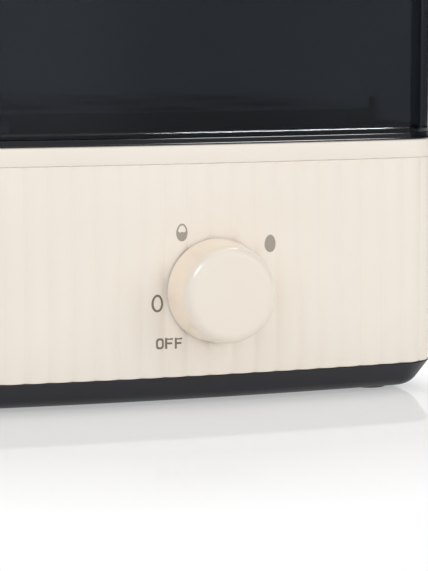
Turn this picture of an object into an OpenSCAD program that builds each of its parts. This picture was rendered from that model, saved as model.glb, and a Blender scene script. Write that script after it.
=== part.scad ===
// Electric egg cooker: reeded housing, smoked lid, seven-egg tray over a steel water dish, round knob.
// Millimetres, +Z up, the front faces -Y. The origin lies on the table, under the middle of the outline.

/* [Housing] */
// Width over the reeds
body_w = 193; // [186:1:234]
// Depth over the reeds
body_d = 193; // [186:1:234]
// Outward bow of each side
side_bow = 3.9; // [1:0.1:6]
// Corner radius in plan
corner_r = 14; // [12:0.5:20]
// Number of vertical reeds round the housing, a multiple of four
rib_count = 88; // [60:4:120]
// Depth of the valleys between the reeds
rib_depth = 0.7; // [0.3:0.1:1]
// Wall thickness of the cream mouldings
wall = 2.2; // [1.6:0.1:3]
// Height of the reeded skirt
skirt_h = 73; // [62:1:100]
// Height of the plain band above the reeds
ring_h = 7; // [6:0.5:12]
// Thickness of the deck that carries the dish
deck_t = 3.2; // [2.8:0.1:4]
// Height of the dark line between reeds and band
seam_gap = 0.35; // [0.2:0.05:0.6]

/* [Base] */
// Height of the black pan
pan_h = 8.6; // [8:0.1:14]
// Straight part of the pan's side, measured inwards
pan_slope_in = 4.2; // [2:0.1:6]
// Straight part of the pan's side, measured down
pan_slope_h = 6; // [3:0.1:7]
// Thickness of the pan
pan_t = 2; // [1.6:0.1:3]
// Foot diameter
foot_d = 13; // [11:0.5:16]
// Foot height below the pan
foot_h = 2.2; // [2:0.1:5]
// Distance of each foot's centre from the housing's sides
foot_inset = 23.5; // [20:0.5:26]

/* [Knob and control] */
// Knob diameter at the housing
knob_d = 36; // [32:0.5:46]
// Knob diameter at its face
knob_face_d = 32.6; // [30:0.2:42]
// Knob length
knob_len = 16; // [15:0.5:24]
// Rounding of the knob's front edge
knob_edge_r = 1.6; // [0.5:0.1:3]
// Knob wall
knob_wall = 2; // [1.5:0.1:3]
// Knob axis, to the right of the middle
knob_x = 6.2; // [-15:0.1:15]
// Knob axis above the table
knob_z = 40.5; // [34:0.5:48]
// Gap between knob and reeds
knob_gap = 0.8; // [0.5:0.1:1.5]
// Shaft diameter
shaft_d = 6; // [5:0.1:7.5]
// Thread diameter of the control's bush
bush_d = 9.6; // [9:0.1:12]
// Width across the flats of the bush nut
bush_nut_w = 13; // [12:0.5:16]
// Side of the square control body
control_w = 34; // [26:1:42]
// Depth of the control body
control_d = 22; // [16:1:28]

/* [Dish and heater] */
// Diameter of the dish over its flange
plate_d = 144; // [112:1:150]
// Depth of the water dish
plate_depth = 9; // [6:0.5:12]
// Thickness of the dish's floor
plate_t = 2; // [1.5:0.1:3]
// Heater tube diameter
heater_d = 7; // [6:0.1:9]
// Diameter of the heater ring, at the tube's middle
heater_ring_d = 96; // [80:1:106]
// Thickness of the pressed clamp bar
clamp_t = 2; // [1.5:0.1:3]
// Stud diameter
stud_d = 5; // [4:0.5:6]

/* [Bezel and lid] */
// Height of the black bezel's edge
bezel_h = 2.3; // [1.8:0.1:3]
// Height of the lip that centres the lid
lip_h = 2.5; // [1.5:0.1:4]
// Height of the lid's rim bead
rim_h = 1.8; // [1.4:0.1:4]
// Lid wall thickness
lid_wall = 2.2; // [1.6:0.1:3]
// Height of the lid's straight wall
lid_wall_h = 56; // [48:1:80]
// Rounding of the lid's top edge
lid_edge_r = 18; // [12:0.5:24]
// Handle length
handle_len = 84; // [70:1:110]
// Handle width
handle_w = 18; // [14:0.5:26]
// Handle height
handle_h = 28; // [24:0.5:36]
// Thickness of the handle's grip and legs
handle_t = 9; // [8:0.5:12]
// Steam hole diameter
steam_d = 5; // [3:0.5:8]

/* [Egg tray] */
// Seats round the middle seat
seat_count = 6; // [5:1:7]
// Opening of an egg seat
seat_d = 36; // [30:0.5:38]
// Radius of the ring of seats
seat_ring_r = 54; // [50:0.5:57]
// Thickness of the tray's plate
tray_t = 2.2; // [1.8:0.1:3]
// Height of the tray above the bezel
tray_h = 8.1; // [6.6:0.1:10]
// Length of each of the tray's four skirts
tray_skirt_len = 124; // [100:1:130]
// Height of the lift tabs above the bezel
tab_h = 12.3; // [11:0.1:20]

/* [Hidden] */
$fn = 64;

// Colours
cream = "#efe7dc";
satin_black = "#33353a";
tray_black = "#24262b";
rubber_black = "#232427";
smoked = "#2c3036";
silicone = "#a9442f";
nylon = "#e4e0d4";
steel = "#b9bcc0";
heater_grey = "#8d8479";
switch_grey = "#5b5d61";
brass = "#c9a24a";
brown = "#7a4a2c";
blue = "#3b64b0";
green = "#7da83c";

// Clearances: locating fits, running fits, loose holes, pilot holes, screw heads and seats, lid over its lip,
// shaft behind the knob's face
fit_gap = 0.15;
run_gap = 0.05;
hole_gap = 0.2;
pilot_gap = 0.1;
head_gap = 0.4;
lid_gap = 0.5;
shaft_gap = 0.3;
// Overrun of a cut, and overlap of pieces that are one moulding
cut = 1;
lap = 0.5;

// Steps of the plan outline: each half side, each corner, each reed, each rounded edge
side_steps = 4;
corner_steps = 8;
reed_steps = 6;
edge_steps = 5;
least_corner_r = 2;

// Heights
pan_z = foot_h;
skirt_z = pan_z + pan_h;
skirt_top = skirt_z + skirt_h;
ring_top = skirt_top + ring_h;
deck_z = ring_top - deck_t;
bezel_top = ring_top + bezel_h;

// Plan: bowed sides are arcs, blended by corner arcs
half_w = body_w / 2;
half_d = body_d / 2;
arc_x = (pow(half_w - corner_r, 2) + pow(side_bow, 2)) / (2 * side_bow);
arc_y = (pow(half_d - corner_r, 2) + pow(side_bow, 2)) / (2 * side_bow);
back_c = [0, half_d - arc_x];
right_c = [half_w - arc_y, 0];

// Insets from the outline over the reeds
skirt_in = wall + rib_depth;
spigot_in = skirt_in + fit_gap;
spigot_t = 1.6;
spigot_h = 3;
seam_depth = 1;
ring_edge_r = 1.2;
pan_edge_in = 0;
pan_lap = 2.6;
bezel_in = 0.1;
bezel_step = 0.3;
bezel_foot_h = 0.5;
rim_in = 0.5;
rim_edge_r = 0.5;
lid_in = 1.6;
lid_draft = 1.2;
lid_corner_r = 8;
lip_in = lid_in + lid_wall + lid_gap;
lip_t = 1.6;

// Screws and the corner posts that take them
post_x = half_w - foot_inset;
post_y = half_d - foot_inset;
post_r = 4.2;
web_t = 2;
screw_r = 1.5;
pilot_r = screw_r + pilot_gap;
screw_hole_r = screw_r + hole_gap;
screw_head_r = 3.1;
screw_head_h = 1.6;
screw_len = 12;
pilot_depth = 14;
foot_bore_r = screw_head_r + head_gap;

// Dish, its seal and its seat in the bezel
plate_r = plate_d / 2;
flange_t = 1;
flange_w = 5;
flange_drop = 0.4;
seal_t = 0.8;
seal_w = 2.6;
seat_r = plate_r + head_gap;
seat_z = bezel_top - flange_drop - flange_t - seal_t;
collar_t = 3.4;
collar_r = seat_r + collar_t;
collar_in_r = plate_r - seal_w - head_gap;
collar_drop = 4;
collar_z = seat_z - collar_drop;
deck_hole_r = collar_r + hole_gap;
plate_top = bezel_top - flange_drop;
plate_floor = plate_top - plate_depth;
plate_z = plate_floor - plate_t;
dish_r = plate_r - flange_w;
dish_skin = 1.2;
dish_taper = 2.8;

// Heater, its clamp and its safety parts, all against the underside of the dish
heater_r = heater_d / 2;
heater_flat = 0.7;
heater_z = plate_z - heater_r + heater_flat;
heater_gap_a = 60;
heater_end = heater_ring_d / 2 * [sin(heater_gap_a / 2), cos(heater_gap_a / 2)];
heater_leg = 10;
pin_r = 1.5;
pin_len = 8;
pin_z = heater_z - heater_leg - pin_len;
stud_r = stud_d / 2;
clamp_w = 16;
clamp_drop = 5;
clamp_z = heater_z - heater_r - clamp_drop;
clamp_leg_gap = 1;
clamp_leg_x = deck_hole_r + clamp_leg_gap;
clamp_foot = 8;
nut_h = 4;
nut_wall = 1.5;
nut_w = stud_d + 2 * nut_wall;
stud_over = 1.5;
stud_z = clamp_z - nut_h - stud_over;
thermostat_r = 10;
thermostat_h = 6;
thermostat_y = -26;
thermostat_tab_x = 5;
tab_w = 4;
tab_t = 0.8;
tab_len = 7;
fuse_r = 2;
fuse_len = 12;
fuse_y = 24;
fuse_z = plate_z - fuse_r - hole_gap;
strap_w = 6;
strap_t = 0.8;
strap_foot = 5;

// Control, bush and knob, set out along the knob's axis
front_y = -half_d;
spot_over = 0.2;
spot_depth = rib_depth + spot_over;
spot_y = front_y + spot_depth;
boss_r = 17;
boss_t = 5;
control_y = front_y + boss_t;
bush_r = bush_d / 2;
bush_nut_h = 2.5;
bush_over = 1.2;
bush_y = spot_y - bush_nut_h - bush_over;
nut_room = 2.5;
spot_r = bush_nut_w / sqrt(3) + nut_room;
shaft_r = shaft_d / 2;
shaft_flat = shaft_r / 2;
shaft_in = 10;
shaft_end_y = control_y + shaft_in;
knob_back_y = front_y - knob_gap;
knob_face_y = knob_back_y - knob_len;
hub_wall = 2.4;
hub_r = shaft_r + hub_wall;
hub_gap = 0.8;
hub_back_y = bush_y - hub_gap;
knob_front_t = 2.4;
shaft_front_y = knob_face_y + knob_front_t + shaft_gap;
clip_t = 0.5;
clip_room = 0.65;
clip_w = 4;
clip_len = 6;
control_tab_x = 9;
control_tab_z = 6;
control_tab_len = 8;
control_back_y = control_y + control_d;

// Cord gland in the rear wall, with a square neck and flange so that it can't turn
gland_rise = 14;
gland_z = skirt_z + gland_rise;
gland_w = 12;
gland_bore_r = 3.4;
gland_flange_w = 17;
gland_flange_t = 2.4;
gland_nose = 4.6;
gland_nose_r = 5.4;
gland_seat_y = half_d - spot_depth;
gland_in = 8;
gland_neck_y = half_d - skirt_in - gland_in;
gland_nose_y = gland_seat_y + gland_flange_t;
gland_y = gland_nose_y + gland_nose;

// The whole outline runs from the knob's face to the gland's nose, and its middle is the origin
axis_y = -(knob_face_y + gland_y) / 2;

// Pieces on the pan's floor
floor_z = pan_z + pan_t;
block_x = -36;
block_y = 58;
block_size = [36, 18, 14];
pole_gap = 12;
pole_z = floor_z + 8;
buzzer_x = 40;
buzzer_y = 40;
buzzer_r = 11;
buzzer_port_r = 1.5;
buzzer_h = 9;

// Lid and tray
lid_wall_top = bezel_top + lid_wall_h;
lid_top = lid_wall_top + lid_edge_r;
lid_under = lid_top - lid_wall;
handle_leg = 2 * handle_t;
handle_screw_x = handle_len / 2 - handle_leg / 2;
washer_t = 1;
washer_r = 4.6;
steam_y = 44;
steam_pitch = 14;
tray_room = 10.6;
tray_half = min(half_w, half_d) - lip_in - lip_t - tray_room;
tray_r = norm([tray_half, tray_skirt_len / 2]);
tray_skirt_t = 2;
tray_lift = 0.6;
tray_floor = bezel_top + tray_h - tray_t;
collar_h = 1.6;
collar_w = 2.4;
steam_slot_r = 3.6;
ear_corner = corner_centre(lip_in + lip_t, corner_at(lip_in + lip_t));
ear_a = atan2(ear_corner[1], ear_corner[0]);
ear_gap = 14.4;
ear_reach = norm(ear_corner) + corner_at(lip_in + lip_t) - ear_gap;
ear_w = 6.2;
ear_in = 2;
grip_t = 2;

// Leads: hand-chosen points between two terminals, in the plan of the housing
lead_r = 1.3;
lead_sides = 8;
lead_steps = 4;
lead_ref = [1, 0.37, 0.21];
lead_out = 6;
control_tab = [control_tab_x, control_back_y + control_tab_len, control_tab_z];
thermostat_z = plate_z - thermostat_h - tab_len;
live_route = [
    [block_x - pole_gap, block_y - block_size[1] / 2, pole_z], [block_x - pole_gap, 40, pole_z],
    [-55, 5, 20], [-35, -40, 30],
    [knob_x - control_tab[0], control_tab[1] + lead_out, knob_z + control_tab[2]],
    [knob_x - control_tab[0], control_tab[1], knob_z + control_tab[2]]
];
control_route = [
    [knob_x + control_tab[0], control_tab[1], knob_z + control_tab[2]],
    [knob_x + control_tab[0], control_tab[1] + lead_out, knob_z + control_tab[2]],
    [24, -36, 50],
    [thermostat_tab_x, thermostat_y, thermostat_z - lead_out],
    [thermostat_tab_x, thermostat_y, thermostat_z]
];
thermostat_route = [
    [-thermostat_tab_x, thermostat_y, thermostat_z],
    [-thermostat_tab_x, thermostat_y, thermostat_z - lead_out],
    [-22, -8, 50], [-30, 20, 50],
    [-heater_end[0], heater_end[1], pin_z - lead_out], [-heater_end[0], heater_end[1], pin_z]
];
neutral_route = [
    [block_x, block_y - block_size[1] / 2, pole_z], [block_x, 42, pole_z],
    [-30, 28, 36], [-20, fuse_y, 66],
    [-fuse_len / 2 - lead_out, fuse_y, fuse_z], [-fuse_len / 2, fuse_y, fuse_z]
];
fuse_route = [
    [fuse_len / 2, fuse_y, fuse_z], [fuse_len / 2 + lead_out, fuse_y, fuse_z],
    [20, 28, 60], [heater_end[0], heater_end[1], pin_z - lead_out], [heater_end[0], heater_end[1], pin_z]
];
earth_route = [
    [block_x + pole_gap, block_y - block_size[1] / 2, pole_z], [block_x + pole_gap, 42, pole_z],
    [-12, 16, 30], [0, 0, stud_z - 2 * lead_out], [0, 0, stud_z]
];

// Point on the unit circle, and a vector of length one
function unit(a) = [cos(a), sin(a)];
function along(v) = v / norm(v);

// Corner radius at an inset, and the centre of the corner arc where the back and right sides blend
function corner_at(inset) = max(corner_r - inset, least_corner_r);
function corner_centre(inset, r) =
    let (a = arc_y - inset - r, b = arc_x - inset - r)
    let (gap = back_c - right_c, span = norm(gap))
    let (reach = (a * a - b * b + span * span) / (2 * span), off = sqrt(a * a - reach * reach))
    right_c + reach * gap / span + off * [-gap[1], gap[0]] / span;

// Angles where the corner arc starts and ends
function corner_angles(c) = [atan2(c[1], c[0] - right_c[0]), atan2(c[1] - back_c[1], c[0])];

function arc_points(c, r, from, to, steps) =
    [for (k = [0 : steps - 1]) c + r * unit(from + (to - from) * k / steps)];

// A quarter of the outline, from the middle of the right side to the middle of the back
function quarter(inset, r) =
    let (c = corner_centre(inset, r), a = corner_angles(c))
    concat(
        arc_points(right_c, arc_y - inset, 0, a[0], side_steps),
        arc_points(c, r, a[0], a[1], corner_steps),
        arc_points(back_c, arc_x - inset, a[1], 90, side_steps),
        [back_c + [0, arc_x - inset]]);

// The same quarter with convex reeds, evenly spaced along it
function reed_dip(k) =
    let (part = (k % reed_steps) / reed_steps)
    rib_depth * pow(2 * min(part, 1 - part), 2);
function reed_quarter() =
    let (c = corner_centre(0, corner_r), a = corner_angles(c))
    let (side = arc_y * a[0], corner = side + corner_r * (a[1] - a[0]), all = corner + arc_x * (90 - a[1]))
    let (count = rib_count / 4 * reed_steps)
    [for (k = [0 : count])
        let (s = all * k / count, dip = reed_dip(k))
        s <= side ? right_c + (arc_y - dip) * unit(s / arc_y)
        : s <= corner ? c + (corner_r - dip) * unit(a[0] + (s - side) / corner_r)
        : back_c + (arc_x - dip) * unit(a[1] + (s - corner) / arc_x)];

// Mirrors a quarter to the whole outline
function all_round(q) =
    let (last = len(q) - 1)
    concat(
        [for (k = [0 : last - 1]) q[k]],
        [for (k = [last : -1 : 1]) [-q[k][0], q[k][1]]],
        [for (k = [0 : last - 1]) -q[k]],
        [for (k = [last : -1 : 1]) [q[k][0], -q[k][1]]]);
function outline(inset) = all_round(quarter(inset, corner_at(inset)));

// Levels of the pan's skin: a straight slope, then an arc that runs out into the flat bottom
pan_slope_a = atan2(pan_slope_h, pan_slope_in);
pan_arc_r = (pan_h - pan_slope_h) / (1 - cos(pan_slope_a));
function pan_levels(off) = concat(
    [for (k = [0 : edge_steps])
        let (a = pan_slope_a * k / edge_steps)
        let (inset = pan_edge_in + pan_slope_in + pan_arc_r * (sin(pan_slope_a) - sin(a)) + off)
        [inset, pan_z + pan_arc_r * (1 - cos(a)) + off, corner_at(inset)]],
    [[pan_edge_in + off, skirt_z + (off > 0 ? cut : 0), corner_at(pan_edge_in + off)]]);

// Levels of a rounded top edge, and how far its middle lies inside the square corner
function edge_mid(r) = r * (1 - cos(45));
function edge_levels(inset, z, r) = [for (k = [0, edge_mid(r), r])
    let (drop = k == 0 ? r : k == r ? 0 : edge_mid(r))
    [inset + k, z - drop, corner_at(inset + k)]];

// Levels of the lid's skin above its rim: a drafted wall, then a rounded top edge
function lid_levels(off) = [for (k = [0 : edge_steps])
    let (a = 90 * k / edge_steps, r = lid_edge_r - off)
    let (inset = lid_in + lid_draft + off + r * (1 - cos(a)))
    [inset, lid_wall_top + r * sin(a), max(corner_r - inset, lid_corner_r)]];

// Points along a lead: a curve through its middle points, with straight ends
function lead_points(p) =
    let (last = len(p) - 1)
    concat([p[0]], [for (k = [1 : last - 2]) each lead_span(p[k - 1], p[k], p[k + 1], p[k + 2])],
        [p[last - 1], p[last]]);
function lead_span(a, b, c, d) = [for (k = [0 : lead_steps - 1])
    let (t = k / lead_steps)
    let (slope = c - a, sag = 2 * a - 5 * b + 4 * c - d, twist = 3 * b - a - 3 * c + d)
    b + (t * slope + t * t * sag + t * t * t * twist) / 2];

// Faces of a solid through rings of n points each, from the first ring to the last
function ring_faces(n, rings) = concat(
    [[for (k = [0 : n - 1]) k]],
    [for (i = [0 : rings - 2]) for (k = [0 : n - 1])
        let (a = i * n + k, b = i * n + (k + 1) % n)
        each [[a, a + n, b + n], [a, b + n, b]]],
    [[for (k = [n - 1 : -1 : 0]) (rings - 1) * n + k]]);

// Solid through outlines at levels of [inset, z, corner radius]
module loft(levels) {
    rings = [for (l = levels) all_round(quarter(l[0], l[2]))];
    points = [for (i = [0 : len(levels) - 1]) for (p = rings[i]) [p[0], p[1], levels[i][1]]];
    polyhedron(points, ring_faces(len(rings[0]), len(levels)));
}

module lead(route) {
    points = lead_points(route);
    last = len(points) - 1;
    rings = [for (k = [0 : last])
        let (t = along(points[min(k + 1, last)] - points[max(k - 1, 0)]))
        let (u = along(cross(t, lead_ref)), v = cross(t, u))
        for (j = [0 : lead_sides - 1])
            let (q = unit(360 * j / lead_sides))
            points[k] + lead_r * (q[0] * u + q[1] * v)];
    at_axis() polyhedron(rings, ring_faces(lead_sides, last + 1));
}

// Places the housing's middle in the frame
module at_axis() {
    translate([0, axis_y, 0]) children();
}

// Turns a piece made along +Z to run along +Y from a point
module along_y(x, y, z) {
    translate([x, y, z]) rotate([-90, 0, 0]) children();
}

module at_posts() {
    for (x = [-post_x, post_x], y = [-post_y, post_y]) translate([x, y, 0]) children();
}

// Upright band between two insets of the outline
module band(outer, inner, z, h) {
    translate([0, 0, z]) linear_extrude(h) difference() {
        polygon(outline(outer));
        polygon(outline(inner));
    }
}

module ring_solid(outer_r, inner_r, z, h) {
    translate([0, 0, z]) difference() {
        cylinder(r = outer_r, h = h);
        translate([0, 0, -cut]) cylinder(r = inner_r, h = h + 2 * cut);
    }
}

// Screw standing on its head, with the shank up
module screw(len) {
    cylinder(r = screw_head_r, h = screw_head_h);
    cylinder(r = screw_r, h = screw_head_h + len);
}

module base_pan() {
    color(satin_black) at_axis() difference() {
        union() {
            difference() {
                loft(pan_levels(0));
                loft(pan_levels(pan_t));
            }
            band(spigot_in, spigot_in + spigot_t, skirt_z - pan_lap, pan_lap + spigot_h);
            at_posts() translate([0, 0, floor_z - lap]) cylinder(r = post_r, h = skirt_z - floor_z + lap);
        }
        at_posts() translate([0, 0, pan_z - cut]) cylinder(r = screw_hole_r, h = pan_h + 2 * cut);
    }
}

module rubber_feet() {
    color(rubber_black) at_axis() at_posts() ring_solid(foot_d / 2, foot_bore_r, 0, foot_h);
}

module base_screws() {
    color(steel) at_axis() at_posts() translate([0, 0, pan_z - screw_head_h]) screw(pan_h + screw_len);
}

// Corner post with its web to the corner wall
module corner_post() {
    c = corner_centre(skirt_in, corner_at(skirt_in));
    reach = c + (corner_at(skirt_in) + wall / 2) * unit(45) - [post_x, post_y];
    web_z = skirt_z + spigot_h + lap;
    translate([post_x, post_y, skirt_z]) cylinder(r = post_r, h = deck_z - skirt_z);
    translate([post_x, post_y, web_z]) rotate(atan2(reach[1], reach[0])) translate([0, -web_t / 2, 0])
        cube([norm(reach), web_t, skirt_top - spigot_h - lap - web_z]);
}

// Square block of the cord gland, or the hole that it fits
module gland_block(w, y, len) {
    translate([-w / 2, y, gland_z - w / 2]) cube([w, len, w]);
}

module housing_skirt() {
    color(cream) at_axis() difference() {
        union() {
            translate([0, 0, skirt_z]) linear_extrude(skirt_h) difference() {
                polygon(all_round(reed_quarter()));
                polygon(outline(skirt_in));
            }
            along_y(knob_x, spot_y + lap, knob_z) cylinder(r = boss_r, h = boss_t - spot_depth - lap);
            for (x = [0, 1], y = [0, 1]) mirror([x, 0, 0]) mirror([0, y, 0]) corner_post();
        }
        at_posts() translate([0, 0, skirt_z - cut]) cylinder(r = pilot_r, h = pilot_depth + cut);
        at_posts() translate([0, 0, deck_z - pilot_depth]) cylinder(r = pilot_r, h = pilot_depth + cut);
        along_y(knob_x, spot_y - spot_depth - cut, knob_z) cylinder(r = spot_r, h = spot_depth + cut);
        along_y(knob_x, front_y - cut, knob_z) cylinder(r = bush_r + hole_gap, h = boss_t + 2 * cut);
        gland_block(gland_flange_w + 2 * hole_gap, gland_seat_y, spot_depth + cut);
        gland_block(gland_w + 2 * fit_gap, half_d - skirt_in - cut, skirt_in + 2 * cut);
    }
}

module top_ring() {
    color(cream) at_axis() difference() {
        union() {
            loft(concat([[0, skirt_top + seam_gap, corner_r]], edge_levels(0, ring_top, ring_edge_r)));
            band(seam_depth, spigot_in + spigot_t + lap, skirt_top, seam_gap + lap);
            band(spigot_in, spigot_in + spigot_t + lap, skirt_top - spigot_h, spigot_h + lap);
        }
        translate([0, 0, skirt_top - spigot_h - cut]) linear_extrude(deck_z - skirt_top + spigot_h + cut)
            polygon(outline(spigot_in + spigot_t));
        translate([0, 0, deck_z - cut]) cylinder(r = deck_hole_r, h = deck_t + 2 * cut);
        at_posts() translate([0, 0, deck_z - cut]) cylinder(r = screw_hole_r, h = deck_t + 2 * cut);
        at_posts() translate([0, 0, ring_top - screw_head_h])
            cylinder(r = foot_bore_r, h = screw_head_h + cut);
    }
}

module ring_screws() {
    color(steel) at_axis() at_posts() translate([0, 0, ring_top]) rotate([180, 0, 0])
        screw(deck_t - screw_head_h + screw_len);
}

module plate_bezel() {
    color(satin_black) at_axis() difference() {
        union() {
            translate([0, 0, ring_top]) linear_extrude(bezel_foot_h) polygon(outline(bezel_in));
            translate([0, 0, ring_top]) linear_extrude(bezel_h) polygon(outline(bezel_in + bezel_step));
            band(lip_in, lip_in + lip_t, bezel_top - lap, lip_h + lap);
            translate([0, 0, collar_z]) cylinder(r = collar_r, h = bezel_top - collar_z - lap);
        }
        translate([0, 0, collar_z - cut]) cylinder(r = collar_in_r, h = bezel_top - collar_z + 2 * cut);
        translate([0, 0, seat_z]) cylinder(r = seat_r, h = bezel_top - seat_z + cut);
    }
}

module plate_seal() {
    color(silicone) at_axis() ring_solid(plate_r, plate_r - seal_w, seat_z, seal_t);
}

module heating_plate() {
    color(steel) at_axis() {
        rotate_extrude() polygon([
            [0, plate_z], [dish_r - dish_taper + dish_skin, plate_z],
            [dish_r + dish_skin, plate_top - flange_t], [plate_r, plate_top - flange_t],
            [plate_r, plate_top], [dish_r, plate_top],
            [dish_r - dish_taper, plate_floor], [0, plate_floor]
        ]);
        translate([0, 0, stud_z]) cylinder(r = stud_r, h = plate_z + lap - stud_z);
    }
}

// Ring tube, flattened where it lies against the dish, with two cold ends that turn down at the rear
module heating_element() {
    color(heater_grey) at_axis() {
        rotate(90 + heater_gap_a / 2) rotate_extrude(angle = 360 - heater_gap_a)
            translate([heater_ring_d / 2, heater_z]) intersection() {
                circle(r = heater_r);
                translate([-heater_d, -heater_d]) square([2 * heater_d, heater_d + heater_r - heater_flat]);
            }
        for (side = [-1, 1]) translate([side * heater_end[0], heater_end[1], 0]) {
            translate([0, 0, heater_z - heater_leg]) cylinder(r = heater_r - lap, h = heater_leg);
            translate([0, 0, pin_z]) cylinder(r = pin_r, h = pin_len + lap);
        }
    }
}

// Pressed bar whose raised feet push up under the deck while the nut pulls the dish down
module clamp_bar() {
    right = [
        [clamp_leg_x + clamp_t, clamp_z], [clamp_leg_x + clamp_t, deck_z - clamp_t],
        [clamp_leg_x + clamp_foot, deck_z - clamp_t], [clamp_leg_x + clamp_foot, deck_z],
        [clamp_leg_x, deck_z], [clamp_leg_x, clamp_z + clamp_t]
    ];
    left = [for (k = [len(right) - 1 : -1 : 0]) [-right[k][0], right[k][1]]];
    color(steel) at_axis() difference() {
        translate([0, clamp_w / 2, 0]) rotate([90, 0, 0]) linear_extrude(clamp_w)
            polygon(concat(right, left));
        translate([0, 0, clamp_z - cut]) cylinder(r = stud_r + hole_gap, h = clamp_t + 2 * cut);
    }
}

module clamp_nut() {
    color(brass) at_axis() translate([0, 0, clamp_z - nut_h]) difference() {
        cylinder(r = nut_w / sqrt(3), h = nut_h, $fn = 6);
        translate([0, 0, -cut]) cylinder(r = stud_r + run_gap, h = nut_h + 2 * cut);
    }
}

module safety_thermostat() {
    color(switch_grey) at_axis() translate([0, thermostat_y, plate_z - thermostat_h]) {
        cylinder(r = thermostat_r, h = thermostat_h);
        for (x = [-thermostat_tab_x, thermostat_tab_x])
            translate([x - tab_w / 2, -tab_t / 2, -tab_len]) cube([tab_w, tab_t, tab_len + lap]);
    }
}

module thermal_fuse() {
    color(nylon) at_axis() translate([-fuse_len / 2, fuse_y, fuse_z]) rotate([0, 90, 0])
        cylinder(r = fuse_r, h = fuse_len);
}

// Strap round the fuse, with two flat feet on the dish
module fuse_strap() {
    loop_r = fuse_r + run_gap + strap_t;
    foot = loop_r + strap_foot;
    color(steel) at_axis() translate([-strap_w / 2, fuse_y, 0]) rotate([90, 0, 90]) linear_extrude(strap_w)
        difference() {
            union() {
                translate([0, fuse_z]) circle(r = loop_r);
                translate([-foot, plate_z - strap_t]) square([2 * foot, strap_t]);
                translate([-loop_r, fuse_z]) square([2 * loop_r, plate_z - fuse_z]);
            }
            translate([0, fuse_z]) circle(r = fuse_r + run_gap);
            translate([-2 * foot, plate_z]) square([4 * foot, loop_r]);
        }
}

module rotary_control() {
    tab_y = control_back_y - lap;
    color(nylon) at_axis() difference() {
        union() {
            translate([knob_x - control_w / 2, control_y, knob_z - control_w / 2])
                cube([control_w, control_d, control_w]);
            along_y(knob_x, bush_y, knob_z) cylinder(r = bush_r, h = control_y - bush_y + lap);
            for (x = [-control_tab_x, control_tab_x])
                translate([knob_x + x - tab_w / 2, tab_y, knob_z + control_tab_z - tab_t / 2])
                    cube([tab_w, control_tab_len + lap, tab_t]);
        }
        along_y(knob_x, bush_y - cut, knob_z)
            cylinder(r = shaft_r + run_gap, h = shaft_end_y - bush_y + cut);
    }
}

module control_nut() {
    color(steel) at_axis() along_y(knob_x, spot_y - bush_nut_h, knob_z) difference() {
        cylinder(r = bush_nut_w / sqrt(3), h = bush_nut_h, $fn = 6);
        translate([0, 0, -cut]) cylinder(r = bush_r + run_gap, h = bush_nut_h + 2 * cut);
    }
}

// Round shaft with a flat along its front end
module control_shaft() {
    flat_len = hub_back_y - shaft_front_y;
    color(nylon) at_axis() along_y(knob_x, shaft_front_y, knob_z) difference() {
        cylinder(r = shaft_r, h = shaft_end_y - shaft_front_y);
        translate([-shaft_d, -shaft_d - shaft_flat, -cut]) cube([2 * shaft_d, shaft_d, flat_len + cut]);
    }
}

// Tapered cap with a rounded front edge, hollow behind, with a hub keyed to the shaft's flat
module knob() {
    base_r = knob_d / 2;
    face_r = knob_face_d / 2;
    hollow = knob_len - knob_front_t;
    hub_len = hub_back_y - knob_face_y - knob_front_t;
    edge = [for (k = [0 : edge_steps])
        let (a = 90 * k / edge_steps)
        [face_r - knob_edge_r * (1 - sin(a)), knob_edge_r * (1 - cos(a))]];
    skin = concat([[0, 0]], [for (k = [0 : edge_steps]) edge[k]], [
        [base_r, knob_len], [base_r - knob_wall, knob_len],
        [face_r - knob_wall, knob_front_t], [0, knob_front_t]
    ]);
    key_y = shaft_flat + clip_room;
    color(cream) at_axis() along_y(knob_x, knob_face_y, knob_z) difference() {
        union() {
            rotate_extrude() polygon(skin);
            translate([0, 0, knob_front_t - lap]) cylinder(r = hub_r, h = hub_len + lap);
        }
        translate([0, 0, knob_front_t]) intersection() {
            cylinder(r = shaft_r + run_gap, h = hollow);
            translate([-shaft_d, -key_y, 0]) cube([2 * shaft_d, 2 * shaft_d, hollow]);
        }
    }
}

// Leaf that fills the room between the shaft's flat and the hub's key
module knob_clip() {
    color(brass) at_axis() along_y(knob_x, shaft_front_y + lap, knob_z)
        translate([-clip_w / 2, -shaft_flat - clip_t, 0]) cube([clip_w, clip_t, clip_len]);
}

module buzzer() {
    color(rubber_black) at_axis() translate([buzzer_x, buzzer_y, 0])
        ring_solid(buzzer_r, buzzer_port_r, floor_z, buzzer_h);
}

module terminal_block() {
    color(nylon) at_axis()
        translate([block_x - block_size[0] / 2, block_y - block_size[1] / 2, floor_z]) cube(block_size);
}

module live_lead() {
    color(brown) lead(live_route);
}

module control_lead() {
    color(brown) lead(control_route);
}

module thermostat_lead() {
    color(brown) lead(thermostat_route);
}

module neutral_lead() {
    color(blue) lead(neutral_route);
}

module fuse_lead() {
    color(blue) lead(fuse_route);
}

module earth_lead() {
    color(green) lead(earth_route);
}

// Bush with an outer flange, a tapered nose and a plain bore for a round cord
module cord_gland() {
    color(satin_black) at_axis() difference() {
        union() {
            gland_block(gland_w, gland_neck_y, gland_nose_y - gland_neck_y);
            gland_block(gland_flange_w, gland_seat_y, gland_flange_t);
            along_y(0, gland_nose_y - lap, gland_z)
                cylinder(r1 = gland_w / 2, r2 = gland_nose_r, h = gland_nose + lap);
        }
        along_y(0, gland_neck_y - cut, gland_z)
            cylinder(r = gland_bore_r, h = gland_y - gland_neck_y + 2 * cut);
    }
}

// Positions of the egg seats: one in the middle and a ring round it
function seat_at(k) = k == 0 ? [0, 0] : seat_ring_r * unit(360 * (k - 0.5) / seat_count);

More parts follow.
